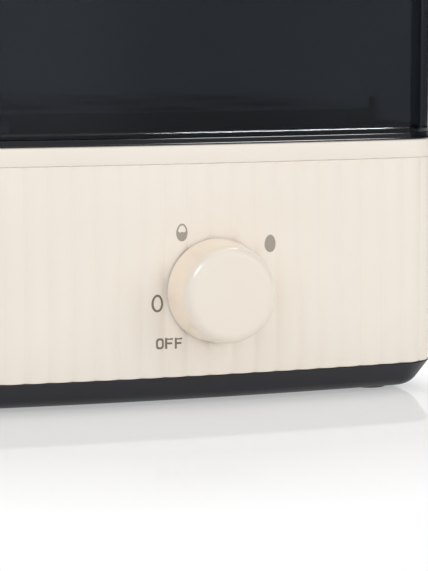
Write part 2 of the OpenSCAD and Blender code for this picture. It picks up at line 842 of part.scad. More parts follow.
// Corner foot that rests on the bezel
module tray_ear() {
    root = tray_r - ear_in;
    translate([root, -ear_w / 2, bezel_top]) cube([ear_reach - root, ear_w, tray_h]);
}

// Plate with four flats, a skirt down each flat, hanging collars round the seats and two upright finger tabs
module egg_tray() {
    color(tray_black) at_axis() difference() {
        union() {
            intersection() {
                translate([0, 0, tray_floor]) cylinder(r = tray_r, h = tray_t);
                translate([-tray_half, -tray_half, tray_floor]) cube([2 * tray_half, 2 * tray_half, tray_t]);
            }
            for (a = [0 : 90 : 270]) rotate(a)
                translate([tray_half - tray_skirt_t, -tray_skirt_len / 2, bezel_top + tray_lift])
                    cube([tray_skirt_t, tray_skirt_len, tray_h - tray_lift]);
            for (k = [0 : seat_count]) translate(concat(seat_at(k), tray_floor - collar_h))
                cylinder(r = seat_d / 2 + collar_w, h = collar_h + lap);
            for (a = [ear_a, 180 - ear_a, 180 + ear_a, -ear_a]) rotate(a) tray_ear();
            for (a = [-ear_a, 180 - ear_a]) rotate(a)
                translate([ear_reach - grip_t, -ear_w / 2, bezel_top]) cube([grip_t, ear_w, tab_h]);
        }
        for (k = [0 : seat_count]) translate(concat(seat_at(k), tray_floor - collar_h - cut))
            cylinder(r = seat_d / 2, h = tray_t + collar_h + 2 * cut);
        for (k = [1 : seat_count]) rotate(360 * k / seat_count)
            translate([seat_ring_r + seat_d / 2 - steam_slot_r, 0, tray_floor - cut])
                cylinder(r = steam_slot_r, h = tray_t + 2 * cut);
    }
}

module lid_shell() {
    rim_top = bezel_top + rim_h;
    rim = concat(
        [[rim_in, bezel_top, corner_at(rim_in)]],
        edge_levels(rim_in, rim_top, rim_edge_r),
        [[lid_in, rim_top + edge_mid(rim_edge_r), corner_at(lid_in)]]);
    inner_in = lid_in + lid_wall;
    color(smoked, 0.6) at_axis() difference() {
        loft(concat(rim, lid_levels(0)));
        loft(concat([[inner_in, bezel_top - cut, corner_at(inner_in)]], lid_levels(lid_wall)));
        for (x = [-handle_screw_x, handle_screw_x]) translate([x, 0, lid_under - cut])
            cylinder(r = screw_hole_r, h = lid_wall + 2 * cut);
        for (k = [-1 : 1]) translate([k * steam_pitch, steam_y, lid_under - cut])
            cylinder(d = steam_d, h = lid_wall + 2 * cut);
    }
}

// Arch with rounded shoulders, open to the lid between its legs
module handle_profile(len, h, r) {
    hull() {
        for (x = [-1, 1]) translate([x * (len / 2 - r), h - r]) circle(r = r, $fn = 32);
        translate([-len / 2, 0]) square([len, cut]);
    }
}

module lid_handle() {
    shoulder_r = 14;
    pilot = handle_h - handle_t;
    gap_len = handle_len - 2 * handle_leg;
    color(satin_black) at_axis() translate([0, 0, lid_top]) difference() {
        translate([0, handle_w / 2, 0]) rotate([90, 0, 0]) linear_extrude(handle_w) difference() {
            handle_profile(handle_len, handle_h, shoulder_r);
            translate([0, -cut]) handle_profile(gap_len, pilot + cut, shoulder_r - handle_t);
        }
        for (x = [-handle_screw_x, handle_screw_x]) translate([x, 0, -cut])
            cylinder(r = pilot_r, h = pilot + cut);
    }
}

module handle_screws() {
    head_z = lid_under - washer_t - screw_head_h;
    color(steel) at_axis() for (x = [-handle_screw_x, handle_screw_x]) translate([x, 0, head_z])
        screw(washer_t + lid_wall + screw_len);
}

module handle_washers() {
    color(rubber_black) at_axis() for (x = [-handle_screw_x, handle_screw_x]) translate([x, 0, 0])
        ring_solid(washer_r, screw_hole_r, lid_under - washer_t, washer_t);
}

base_pan();
rubber_feet();
base_screws();
housing_skirt();
top_ring();
ring_screws();
plate_bezel();
plate_seal();
heating_plate();
heating_element();
clamp_bar();
clamp_nut();
safety_thermostat();
thermal_fuse();
fuse_strap();
rotary_control();
control_nut();
control_shaft();
knob();
knob_clip();
buzzer();
terminal_block();
live_lead();
control_lead();
thermostat_lead();
neutral_lead();
fuse_lead();
earth_lead();
cord_gland();
egg_tray();
lid_shell();
lid_handle();
handle_screws();
handle_washers();
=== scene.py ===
import math
import bmesh
import bpy
from mathutils import Matrix, Vector
from mathutils.geometry import delaunay_2d_cdt


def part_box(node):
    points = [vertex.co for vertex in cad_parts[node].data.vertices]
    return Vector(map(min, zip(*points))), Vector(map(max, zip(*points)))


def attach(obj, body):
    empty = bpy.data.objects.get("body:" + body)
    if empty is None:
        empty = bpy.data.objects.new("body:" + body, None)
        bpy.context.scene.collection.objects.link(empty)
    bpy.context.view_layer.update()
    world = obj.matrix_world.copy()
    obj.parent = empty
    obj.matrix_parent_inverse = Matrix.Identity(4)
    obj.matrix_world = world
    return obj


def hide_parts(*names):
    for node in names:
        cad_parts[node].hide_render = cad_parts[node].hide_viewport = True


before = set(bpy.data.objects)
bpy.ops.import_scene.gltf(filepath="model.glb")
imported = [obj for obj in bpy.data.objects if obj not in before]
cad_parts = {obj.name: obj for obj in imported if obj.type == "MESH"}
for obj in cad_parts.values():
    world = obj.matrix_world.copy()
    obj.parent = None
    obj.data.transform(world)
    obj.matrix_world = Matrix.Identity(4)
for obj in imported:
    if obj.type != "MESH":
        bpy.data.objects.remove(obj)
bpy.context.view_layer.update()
mm = 0.001
tiny = 1e-6  # lengths below this count as nothing
still = Matrix.Identity(4)
print("frame loaded:", len(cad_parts), "nodes")

# camera: a long lens, a little above the knob and left of it
camera = {"eye": (-259.8, -852.3, 141.7), "forward": (0.32642, 0.93723, -0.12265), "lens": 148.77,
          "sensor": 36, "clip": (0.01, 50)}


def setCamera():
    data = bpy.data.cameras.new("photoCamera")
    data.lens, data.sensor_width, data.sensor_fit = camera["lens"], camera["sensor"], "AUTO"
    data.clip_start, data.clip_end = camera["clip"]
    obj = bpy.data.objects.new("photoCamera", data)
    bpy.context.scene.collection.objects.link(obj)
    obj.location = Vector(camera["eye"]) * mm
    obj.rotation_euler = Vector(camera["forward"]).to_track_quat("-Z", "Y").to_euler()
    bpy.context.scene.camera = obj


setCamera()
print("camera set")


# shader maths: a wire is one socket of a node tree, and an expression on wires adds Math nodes
class Wire:
    def __init__(self, tree, socket):
        self.tree, self.socket = tree, socket

    def make(self, kind, settings=None, inputs=None, out=0):
        node = self.tree.nodes.new(kind)
        for key, value in (settings or {}).items():
            setattr(node, key, value)
        for key, value in (inputs or {}).items():
            if isinstance(value, Wire):
                self.tree.links.new(value.socket, node.inputs[key])
            else:
                node.inputs[key].default_value = value
        return Wire(self.tree, node.outputs[out])

    def math(self, operation, first, second):
        return self.make("ShaderNodeMath", {"operation": operation}, {0: first, 1: second})

    def __add__(self, other):
        return self.math("ADD", self, other)

    def __radd__(self, other):
        return self.math("ADD", other, self)

    def __sub__(self, other):
        return self.math("SUBTRACT", self, other)

    def __rsub__(self, other):
        return self.math("SUBTRACT", other, self)

    def __mul__(self, other):
        return self.math("MULTIPLY", self, other)

    def __rmul__(self, other):
        return self.math("MULTIPLY", other, self)


def shade(red, green, blue):  # a colour as it reads on screen, 0 to 255
    def straight(v):
        v /= 255
        return v / 12.92 if v <= 0.04045 else ((v + 0.055) / 1.055) ** 2.4

    return (straight(red), straight(green), straight(blue), 1)


def grain(place, scale, detail=2.0, rough=0.5, stretch=None):
    if stretch:
        place = place.make("ShaderNodeMapping", {}, {"Vector": place, "Scale": stretch})
    keys = {"Vector": place, "Scale": scale, "Detail": detail, "Roughness": rough}
    return place.make("ShaderNodeTexNoise", {}, keys)


def blendColour(factor, first, second):  # sockets 6 and 7 take its colours, and output 2 gives one
    return factor.make("ShaderNodeMix", {"data_type": "RGBA"}, {0: factor, 6: first, 7: second}, 2)


def spread(wire, low, high, start=0.3, end=0.7):  # stretches start to end so that it runs from low to high
    keys = {"Value": wire, "From Min": start, "From Max": end, "To Min": low, "To Max": high}
    return wire.make("ShaderNodeMapRange", {"clamp": True}, keys)


def bumped(height, strength, distance):
    return height.make("ShaderNodeBump", {}, {"Strength": strength, "Distance": distance, "Height": height})


def partOf(place, axis):  # x, y or z of a place
    return place.make("ShaderNodeSeparateXYZ", {}, {0: place}, axis)


def sizeOf(wire):  # a value without its sign
    return wire.make("ShaderNodeMath", {"operation": "ABSOLUTE"}, {0: wire})


def blankFinish(name, fixed):
    material = bpy.data.materials.new(name)
    material.use_nodes = True
    tree = material.node_tree
    shader = tree.nodes["Principled BSDF"]
    for key, value in fixed.items():
        shader.inputs[key].default_value = value
    place = Wire(tree, tree.nodes.new("ShaderNodeTexCoord").outputs["Object"])
    return material, shader, place


def feed(shader, key, wire):
    wire.tree.links.new(wire.socket, shader.inputs[key])


# moulded finishes: the tone drifts slowly, and a fine mould texture of its own scale gives the satin
moulded = {
    "cream": {"tone": (242, 234, 223), "deep": (240, 231, 219), "rough": (0.36, 0.44),
              "speck": 2600, "lift": 0.02, "fixed": {"IOR": 1.5, "Specular IOR Level": 0.35}},
    "knobCream": {"tone": (239, 230, 218), "deep": (238, 228, 215), "rough": (0.16, 0.2),
                  # painted light: the side is lighter and warmer towards the housing, standing in for light
                  # bounced off it
                  "paintedSideLight": (254, 240, 222), "paintedSideLightY": (-0.107, -0.1035),
                  # painted shadow: a thin dark brown line where the knob meets the housing
                  "line": (135, 98, 68), "paintedGapShadeY": (-0.0919, -0.0917),
                  "speck": 900, "lift": 0.004, "fixed": {"IOR": 1.5, "Specular IOR Level": 0.5}},
    "satinBlack": {"tone": (23, 24, 30), "deep": (20, 21, 27), "rough": (0.34, 0.44),
                   "speck": 1900, "lift": 0.06, "fixed": {"IOR": 1.5, "Specular IOR Level": 0.44}},
    "bezelBlack": {"tone": (22, 23, 28), "deep": (18, 19, 24), "rough": (0.12, 0.17),
                   "speck": 1700, "lift": 0.02, "fixed": {"IOR": 1.5, "Specular IOR Level": 0.26}},
    "trayBlack": {"tone": (32, 37, 60), "deep": (28, 33, 54), "rough": (0.14, 0.2),
                  "speck": 1500, "lift": 0.01, "fixed": {"IOR": 1.5}},
    "footRubber": {"tone": (122, 125, 123), "deep": (108, 111, 109), "rough": (0.7, 0.9),
                   "speck": 1400, "lift": 0.3, "fixed": {"IOR": 1.45, "Specular IOR Level": 0.3}},
    "sealSilicone": {"tone": (172, 74, 52), "deep": (156, 62, 44), "rough": (0.45, 0.6),
                     "speck": 900, "lift": 0.1, "fixed": {"IOR": 1.42}},
    "controlNylon": {"tone": (228, 223, 209), "deep": (214, 207, 190), "rough": (0.4, 0.55),
                     "speck": 1200, "lift": 0.1, "fixed": {"IOR": 1.5}},
    "sounderBlack": {"tone": (34, 35, 38), "deep": (27, 28, 30), "rough": (0.42, 0.56),
                     "speck": 1500, "lift": 0.1, "fixed": {"IOR": 1.5}},
    "brownSleeve": {"tone": (122, 74, 44), "deep": (104, 60, 34), "rough": (0.34, 0.46),
                    "speck": 900, "lift": 0.06, "fixed": {"IOR": 1.5}},
    "blueSleeve": {"tone": (60, 100, 176), "deep": (46, 82, 152), "rough": (0.34, 0.46),
                   "speck": 900, "lift": 0.06, "fixed": {"IOR": 1.5}},
    "inkGrey": {"tone": (132, 123, 112), "deep": (122, 113, 102), "rough": (0.45, 0.6),
                "speck": 5200, "lift": 0.02, "fixed": {"IOR": 1.5, "Specular IOR Level": 0.3}},
    "inkPale": {"tone": (170, 162, 151), "deep": (162, 154, 143), "rough": (0.45, 0.6),
                "speck": 5200, "lift": 0.02, "fixed": {"IOR": 1.5, "Specular IOR Level": 0.3}},
}
mouldGrain = {"drift": 26, "driftShare": 0.7, "speckShare": 0.3, "speckRough": 0.6, "patch": 90,
              "patchRough": 0.02, "coarse": 3, "coarseShare": 0.6, "depth": 0.0001}


def mouldedFinish(name):
    row, g = moulded[name], mouldGrain
    material, shader, place = blankFinish(name, row["fixed"])
    drift = spread(grain(place, g["drift"], detail=3), 0, 1)
    speck = grain(place, row["speck"], rough=g["speckRough"])
    tint = drift * g["driftShare"] + spread(speck, 0, g["speckShare"])
    colour = blendColour(tint, shade(*row["tone"]), shade(*row["deep"]))
    if "paintedSideLight" in row:  # painted light and shade: the knob's side is lighter and warmer than its face, for light bounced off the housing, and a thin dark line, the gap's painted shadow, ends it at the housing
        depth = partOf(place, 1)
        # painted light: lighter, warmer colour on the side towards the housing
        colour = blendColour(spread(depth, 0, 1, *row["paintedSideLightY"]), colour, shade(*row["paintedSideLight"]))
        # painted shadow: a thin dark line at the knob's back edge, where the gap is
        colour = blendColour(spread(depth, 0, 1, *row["paintedGapShadeY"]), colour, shade(*row["line"]))
    feed(shader, "Base Color", colour)
    patch = spread(grain(place, g["patch"]), -g["patchRough"], g["patchRough"])
    feed(shader, "Roughness", spread(speck, *row["rough"]) + patch)
    coarse = grain(place, row["speck"] / g["coarse"])
    feed(shader, "Normal", bumped(speck + coarse * g["coarseShare"], row["lift"], g["depth"]))
    return material


# metals: a brushed or turned grain carries both the tone and the roughness
metals = {
    "dishSteel": {"tone": (206, 208, 211), "deep": (176, 178, 182), "rough": (0.2, 0.34), "lift": 0.12,
                  "turned": True},
    "pressedSteel": {"tone": (190, 193, 198), "deep": (166, 169, 174), "rough": (0.28, 0.42), "lift": 0.08},
    "screwSteel": {"tone": (176, 178, 184), "deep": (148, 150, 156), "rough": (0.24, 0.4), "lift": 0.06},
    "heaterSheath": {"tone": (146, 136, 124), "deep": (112, 104, 96), "rough": (0.38, 0.58), "lift": 0.1},
    "warmBrass": {"tone": (206, 168, 82), "deep": (178, 140, 64), "rough": (0.24, 0.4), "lift": 0.06},
}
metalGrain = {"rings": 2400, "brushed": 900, "brushRough": 0.6, "stretch": (1, 1, 12), "detail": 4,
              "lineShare": 0.6, "stain": 60, "stainFrom": (0.35, 0.75), "stainShare": 0.4,
              "stainRough": 0.06, "depth": 0.00005}


def metalFinish(name):
    row, g = metals[name], metalGrain
    material, shader, place = blankFinish(name, {"Metallic": 1.0})
    if row.get("turned"):  # rings about the housing's axis
        axis = (0, axisY * mm, 0)
        centred = place.make("ShaderNodeVectorMath", {"operation": "SUBTRACT"}, {0: place, 1: axis})
        flat = place.make("ShaderNodeVectorMath", {"operation": "MULTIPLY"}, {0: centred, 1: (1, 1, 0)})
        reach = place.make("ShaderNodeVectorMath", {"operation": "LENGTH"}, {0: flat}, 1)
        keys = {"W": reach, "Scale": g["rings"], "Detail": g["detail"]}
        line = place.make("ShaderNodeTexNoise", {"noise_dimensions": "1D"}, keys)
    else:
        line = grain(place, g["brushed"], g["detail"], g["brushRough"], g["stretch"])
    stain = spread(grain(place, g["stain"], g["detail"]), 0, 1, *g["stainFrom"])
    tint = spread(line, 0, g["lineShare"]) + stain * g["stainShare"]
    feed(shader, "Base Color", blendColour(tint, shade(*row["tone"]), shade(*row["deep"])))
    feed(shader, "Roughness", spread(line, *row["rough"]) + stain * g["stainRough"])
    feed(shader, "Normal", bumped(line, row["lift"], g["depth"]))
    return material


# smoked lid: clear, dark plastic with a polished bevel on its rim, and a painted shade that darkens the
# front corners, where the wall is seen along its length
smoke = {"tone": (88, 92, 99), "deep": (84, 88, 95), "drift": 18, "rough": (0.1, 0.13), "patch": 70,
         # the turn colour and its bounds across and along: painted shade for the front corners
         "patchRough": 0.6, "turn": (18, 19, 22), "cornerShadeX": (0.0833, 0.0862), "cornerShadeY": (-0.0815, -0.0772),
         "polish": (0.0944, 0.0951), "polishFade": 0.0001, "polishShare": 0.23,
         "fixed": {"Transmission Weight": 1.0, "IOR": 1.27, "Specular Tint": (0.84, 0.9, 0.98, 1),
                   "Coat IOR": 1.5, "Coat Roughness": 0.07}}


def smokedFinish():
    s = smoke
    material, shader, place = blankFinish("smokedClear", s["fixed"])
    drift = spread(grain(place, s["drift"], detail=3), 0, 1)
    across, along, height = [partOf(place, k) for k in range(3)]
    side = spread(sizeOf(across), 0, 1, *s["cornerShadeX"])
    turn = side * (1 - spread(along, 0, 1, *s["cornerShadeY"]))  # 1 in both front corners, where the shade is painted
    clear = blendColour(drift, shade(*s["tone"]), shade(*s["deep"]))
    # painted shade: the colour turns darker in the front corners
    feed(shader, "Base Color", blendColour(turn, clear, shade(*s["turn"])))
    patch = grain(place, s["patch"], detail=4, rough=s["patchRough"])
    feed(shader, "Roughness", spread(patch, *s["rough"]))
    below, above = s["polish"]
    rise = spread(height, 0, 1, below, below + s["polishFade"])
    fall = spread(height, s["polishShare"], 0, above, above + s["polishFade"])
    feed(shader, "Coat Weight", rise * fall)
    return material


# green insulation with a yellow stripe along it
earth = {"tone": (70, 138, 62), "stripe": (222, 198, 58), "scale": 160, "wander": 1.5, "edge": (0.6, 0.66),
         "patch": 700, "rough": (0.34, 0.46), "speck": 900, "lift": 0.05, "depth": 0.0001,
         "fixed": {"IOR": 1.5}}


def earthFinish():
    e = earth
    material, shader, place = blankFinish("stripedSleeve", e["fixed"])
    keys = {"Vector": place, "Scale": e["scale"], "Distortion": e["wander"], "Detail": 1}
    stripe = place.make("ShaderNodeTexWave", {"wave_type": "BANDS", "bands_direction": "DIAGONAL"}, keys)
    mask = spread(stripe, 0, 1, *e["edge"])
    feed(shader, "Base Color", blendColour(mask, shade(*e["tone"]), shade(*e["stripe"])))
    feed(shader, "Roughness", spread(grain(place, e["patch"]), *e["rough"]))
    feed(shader, "Normal", bumped(grain(place, e["speck"]), e["lift"], e["depth"]))
    return material


# plan of the housing, as in the part: bowed sides blended by corner arcs, about the housing's own axis
plan = {"half": 96.5, "bow": 3.9, "corner": 14, "reeds": 88, "reedDepth": 0.7, "leastCorner": 2,
        "sideSteps": 10, "cornerSteps": 14}
skirtLow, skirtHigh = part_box("housing_skirt")
axisY = (skirtLow.y + skirtHigh.y) / 2 / mm
bowR = ((plan["half"] - plan["corner"]) ** 2 + plan["bow"] ** 2) / (2 * plan["bow"])
bowBack = plan["half"] - bowR


def cornerAt(inset):
    return max(plan["corner"] - inset, plan["leastCorner"])


def cornerPlace(inset, r):  # distance of the corner arc's centre along x and y, and where the side arc ends
    reach = bowR - inset - r
    c = (bowBack + math.sqrt(2 * reach * reach - bowBack * bowBack)) / 2
    return c, math.atan2(c, c - bowBack)


def allRound(quarter):
    last = len(quarter) - 1
    return (quarter[:last] + [(-x, y) for x, y in quarter[last:0:-1]]
            + [(-x, -y) for x, y in quarter[:last]] + [(x, -y) for x, y in quarter[last:0:-1]])


def arcPoint(cx, cy, r, angle):
    return (cx + r * math.cos(angle), cy + r * math.sin(angle))


def planLoop(inset, r=None):
    r = cornerAt(inset) if r is None else r
    side, corner = plan["sideSteps"], plan["cornerSteps"]
    c, turn = cornerPlace(inset, r)
    far = math.pi / 2
    quarter = [arcPoint(bowBack, 0, bowR - inset, turn * k / side) for k in range(side)]
    quarter += [arcPoint(c, c, r, turn + (far - 2 * turn) * k / corner) for k in range(corner)]
    quarter += [arcPoint(0, bowBack, bowR - inset, far - turn + turn * k / side) for k in range(side + 1)]
    return allRound(quarter)


def reedDip(part):  # how deep the wall lies at a share of the way from one crest to the next
    return plan["reedDepth"] * (2 * min(part, 1 - part)) ** 2


def reedLoop(steps, inset, dipShare):  # evenly spaced reeds, a crest at the middle of each side
    r = plan["corner"]
    c, turn = cornerPlace(0, r)
    far = math.pi / 2
    side, bend = bowR * turn, r * (far - 2 * turn)
    count = plan["reeds"] // 4 * steps
    quarter = []
    for k in range(count + 1):
        s = (2 * side + bend) * k / count
        off = inset + dipShare * reedDip((k % steps) / steps)
        if s <= side:
            quarter.append(arcPoint(bowBack, 0, bowR - off, s / bowR))
        elif s <= side + bend:
            quarter.append(arcPoint(c, c, r - off, turn + (s - side) / r))
        else:
            quarter.append(arcPoint(0, bowBack, bowR - off, far - turn + (s - side - bend) / bowR))
    return allRound(quarter)


def reedPitch():
    turn = cornerPlace(0, plan["corner"])[1]
    return 4 * (2 * bowR * turn + plan["corner"] * (math.pi / 2 - 2 * turn)) / plan["reeds"]


def frontWall(x):  # how far forward the reeded front stands at x
    s = bowR * math.asin(x / bowR)
    return axisY - bowBack - (bowR - reedDip((s / reedPitch()) % 1)) * math.cos(s / bowR)


def ringOf(loop, r):  # a circle with a point for each point of a loop, at the same bearing
    return [(r * math.cos(a), r * math.sin(a)) for a in (math.atan2(y, x) for x, y in loop)]


def circle(cx, cy, r, count):
    return [arcPoint(cx, cy, r, 2 * math.pi * k / count) for k in range(count)]


# sides of the round forms
facets = {"pilot": 24, "screw": 32, "slot": 36, "post": 40, "lidHole": 40, "bore": 48, "boss": 64,
          "foot": 64, "nose": 72, "seat": 80, "knob": 160, "dish": 160}


def rod(r, low, high):  # profile of a plain round bar
    return [(0, low), (r, low), (r, high), (0, high)]


# a corner flatter than straight stays as it is, and an arc takes up this share of a side at most
rounding = {"straight": -0.999, "share": 0.49}


def rounded(corners, radii, steps=5):  # a profile in two numbers with its corners rounded
    out = []
    count = len(corners)
    for k, (p, r) in enumerate(zip(corners, radii)):
        a, b = Vector(corners[k - 1]), Vector(corners[(k + 1) % count])
        p = Vector(p)
        u, v = (a - p).normalized(), (b - p).normalized()
        if r <= 0 or u.dot(v) < rounding["straight"]:
            out.append(tuple(p))
            continue
        half = u.angle(v) / 2
        share = rounding["share"]
        cut = min(r / math.tan(half), share * (a - p).length, share * (b - p).length)
        r = cut * math.tan(half)
        centre = p + (u + v).normalized() * (r / math.sin(half))
        start, end = p + u * cut - centre, p + v * cut - centre
        whole = start.angle(end)
        for j in range(steps + 1):
            t = j / steps
            w = (start * math.sin((1 - t) * whole) + end * math.sin(t * whole)) / math.sin(whole)
            out.append(tuple(centre + w))
    return out


def within(point, polygon):
    x, y = point
    hit = False
    for (ax, ay), (bx, by) in zip(polygon, polygon[1:] + polygon[:1]):
        if (ay > y) != (by > y) and x < ax + (y - ay) * (bx - ax) / (by - ay):
            hit = not hit
    return hit


class Skin:  # points and faces of one piece, in millimetres about the housing's axis
    def __init__(self):
        self.points, self.faces = [], []

    def loop(self, flat, z):
        first = len(self.points)
        self.points += [(x, y, z) for x, y in flat]
        return list(range(first, len(self.points)))

    def band(self, a, b):
        count = len(a)
        self.faces += [(a[k], a[(k + 1) % count], b[(k + 1) % count], b[k]) for k in range(count)]

    def sweep(self, loops, closed=True):
        for a, b in zip(loops, loops[1:] + loops[:1] if closed else loops[1:]):
            self.band(a, b)

    def fill(self, outer, holes=()):  # a flat face with holes
        flat, edges, ids = [], [], []
        for loop in [outer, *holes]:
            first = len(flat)
            flat += [Vector(self.points[i][:2]) for i in loop]
            ids += loop
            edges += [(first + k, first + (k + 1) % len(loop)) for k in range(len(loop))]
        gaps = [[self.points[i][:2] for i in loop] for loop in holes]
        _, _, made, origins, _, _ = delaunay_2d_cdt(flat, edges, [], 1, tiny / 10)
        for face in made:
            ring = [ids[origins[i][0]] for i in face]
            middle = [sum(self.points[i][j] for i in ring) / len(ring) for j in (0, 1)]
            if not any(within(middle, gap) for gap in gaps):
                self.faces.append(tuple(ring))

    def turn(self, profile, count, move=still):  # a profile of radius and height, spun about z
        loops = []
        for r, z in profile:
            first = len(self.points)
            if r < tiny:
                self.points.append(tuple(move @ Vector((0, 0, z))))
                loops.append([first])
            else:
                self.points += [tuple(move @ Vector((x, y, z))) for x, y in circle(0, 0, r, count)]
                loops.append(list(range(first, first + count)))
        fromAxis = len(loops[0]) == 1  # such a profile ends on the axis too, and isn't closed
        for a, b in zip(loops, loops[1:] if fromAxis else loops[1:] + loops[:1]):
            if len(a) == 1:
                self.faces += [(a[0], b[(k + 1) % count], b[k]) for k in range(count)]
            elif len(b) == 1:
                self.faces += [(a[k], a[(k + 1) % count], b[0]) for k in range(count)]
            else:
                self.band(a, b)

    def add(self, points, faces):
        first = len(self.points)
        self.points += points
        self.faces += [tuple(first + i for i in face) for face in faces]


def bevelled(form, edges, r, steps):
    bmesh.ops.bevel(form, geom=edges, offset=r, segments=steps, profile=0.5, affect="EDGES",
                    clamp_overlap=True)
    form.verts.index_update()


def roundBox(skin, low, high, r, move):
    form = bmesh.new()
    bmesh.ops.create_cube(form, size=1)
    for v in form.verts:
        v.co = Vector(l + (h - l) * (c + 0.5) for l, h, c in zip(low, high, v.co))
    bevelled(form, form.edges[:], r, steps=3)
    skin.add([tuple(move @ v.co) for v in form.verts], [[v.index for v in f.verts] for f in form.faces])
    form.free()


def looseMesh(name, skin, aboutAxis=True):
    mesh = bpy.data.meshes.new(name)
    shift = axisY if aboutAxis else 0  # the prints have their place along y already
    mesh.from_pydata([(x * mm, (y + shift) * mm, z * mm) for x, y, z in skin.points], [], skin.faces)
    form = bmesh.new()
    form.from_mesh(mesh)
    bmesh.ops.recalc_face_normals(form, faces=form.faces)
    form.to_mesh(mesh)
    form.free()
    obj = bpy.data.objects.new(name, mesh)
    bpy.context.scene.collection.objects.link(obj)
    return obj


def applyAll(obj):
    graph = bpy.context.evaluated_depsgraph_get()
    mesh = bpy.data.meshes.new_from_object(obj.evaluated_get(graph))
    obj.modifiers.clear()
    old, obj.data = obj.data, mesh
    bpy.data.meshes.remove(old)


weldGap = 0.001  # points closer than this become one after a cut or a join


def carve(obj, tool, operation="DIFFERENCE"):  # joins or cuts with another loose mesh, which is used up
    step = obj.modifiers.new("carve", "BOOLEAN")
    step.object, step.operation, step.solver = tool, operation, "EXACT"
    applyAll(obj)
    form = bmesh.new()
    form.from_mesh(obj.data)
    bmesh.ops.remove_doubles(form, verts=form.verts, dist=weldGap * mm)
    form.to_mesh(obj.data)
    form.free()
    mesh = tool.data
    bpy.data.objects.remove(tool)
    bpy.data.meshes.remove(mesh)


def settle(obj, body, finish, nodes, crease):  # gives a piece its finish, body, slot and nodes
    mesh = obj.data
    mesh.shade_smooth()
    mesh.set_sharp_from_angle(angle=math.radians(crease))
    mesh.materials.clear()
    mesh.materials.append(finishes[finish])
    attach(obj, body)
    if nodes:
        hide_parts(*nodes)


def towardsFront(x, y, z):  # turns a spun profile to run along y from a point
    return Matrix.Translation((x, y, z)) @ Matrix.Rotation(math.radians(-90), 4, "X")


def spunBy(degrees):
    return Matrix.Rotation(math.radians(degrees), 4, "Z")


finishes = {name: mouldedFinish(name) for name in moulded}
finishes.update({name: metalFinish(name) for name in metals})
finishes["smokedClear"] = smokedFinish()
finishes["stripedSleeve"] = earthFinish()
print("finishes made:", len(finishes))

# housing skirt: reeded wall, four posts on webs, and a boss with the hole for the control
skirt = {"low": 10.8, "high": 84.18, "inner": 2.9, "steps": 12, "lowEdge": 0.35, "topEdge": 0.16,
         "edgeShares": (0.5, 0.15), "edgeRise": 0.6, "post": 73.0, "postR": 4.2, "postTop": 87.6,
         "pilotR": 1.6, "pilotDepth": 14, "web": 2.0, "webLow": 14.3, "webHigh": 80.3, "webRoot": 1.0,
         "webSoft": 0.2, "bossR": 17, "bossFrom": 1.4, "bossIn": 5}
control = {"x": 6.2, "z": 40.5, "holeR": 5.0, "holeEnd": 8, "spotR": 10.0, "spotDeep": 0.9}
inlet = {"z": 24.8, "hole": 6.15, "holeDeep": 6, "spot": 8.7, "spotDeep": 0.9, "soft": 0.3}
past = 1  # how far a cutting tool stands clear of what it cuts


def postPlaces():
    spots = (-skirt["post"], skirt["post"])
    return [Matrix.Translation((x, y, 0)) for x in spots for y in spots]


def softEdge(edge, z, way):  # insets and heights of a rounded edge, from the face to the wall
    middle = [(edge * s, z + way * edge * (1 - s) * skirt["edgeRise"]) for s in skirt["edgeShares"]]
    return [(edge, z)] + middle + [(0, z + way * edge)]


def makeSkirt():
    k, c = skirt, control
    low, high, half = k["low"], k["high"], plan["half"]
    levels = softEdge(k["lowEdge"], low, 1) + [(0, low + (high - low) * j / 4) for j in (1, 2, 3)]
    levels += softEdge(k["topEdge"], high, -1)[::-1]
    body = Skin()
    loops = [body.loop(reedLoop(k["steps"], inset, 1), z) for inset, z in levels]
    loops += [body.loop(reedLoop(k["steps"], k["inner"], 0), z) for z in (high, low)]
    body.sweep(loops)
    wall = looseMesh("reededSkirt", body)
    posts, webs, boss, cuts = Skin(), Skin(), Skin(), Skin()
    pilots = ((low - past, low + k["pilotDepth"]), (k["postTop"] - k["pilotDepth"], k["postTop"] + past))
    for place in postPlaces():
        posts.turn(rod(k["postR"], low, k["postTop"]), facets["post"], place)
        for bottom, top in pilots:
            cuts.turn(rod(k["pilotR"], bottom, top), facets["pilot"], place)
    carve(wall, looseMesh("posts", posts), "UNION")
    corner, side = cornerAt(k["inner"]), k["web"] / 2
    reach = (cornerPlace(k["inner"], corner)[0] - k["post"]) * math.sqrt(2) + corner + k["webRoot"]
    for j in range(4):
        move = spunBy(45 + 90 * j) @ Matrix.Translation((k["post"] * math.sqrt(2), 0, 0))
        roundBox(webs, (0, -side, k["webLow"]), (reach, side, k["webHigh"]), k["webSoft"], move)
    carve(wall, looseMesh("webs", webs), "UNION")
    place = towardsFront(c["x"], k["bossFrom"] - half, c["z"])
    boss.turn(rod(k["bossR"], 0, k["bossIn"] - k["bossFrom"]), facets["boss"], place)
    carve(wall, looseMesh("boss", boss), "UNION")
    deep, end = c["spotDeep"] + past, c["holeEnd"]
    bore = [(0, 0), (c["spotR"], 0), (c["spotR"], deep), (c["holeR"], deep), (c["holeR"], end), (0, end)]
    cuts.turn(bore, facets["bore"], towardsFront(c["x"], -half - past, c["z"]))
    carve(wall, looseMesh("skirtCuts", cuts))
    for reach, deep in ((inlet["hole"], inlet["holeDeep"]), (inlet["spot"], inlet["spotDeep"])):
        cut = Skin()
        near, far = (-reach, half - deep, inlet["z"] - reach), (reach, half + past, inlet["z"] + reach)
        roundBox(cut, near, far, inlet["soft"], still)
        carve(wall, looseMesh("inletCut", cut))
    settle(wall, "base", "cream", ["housing_skirt"], crease=40)


makeSkirt()
print("reeded skirt made")

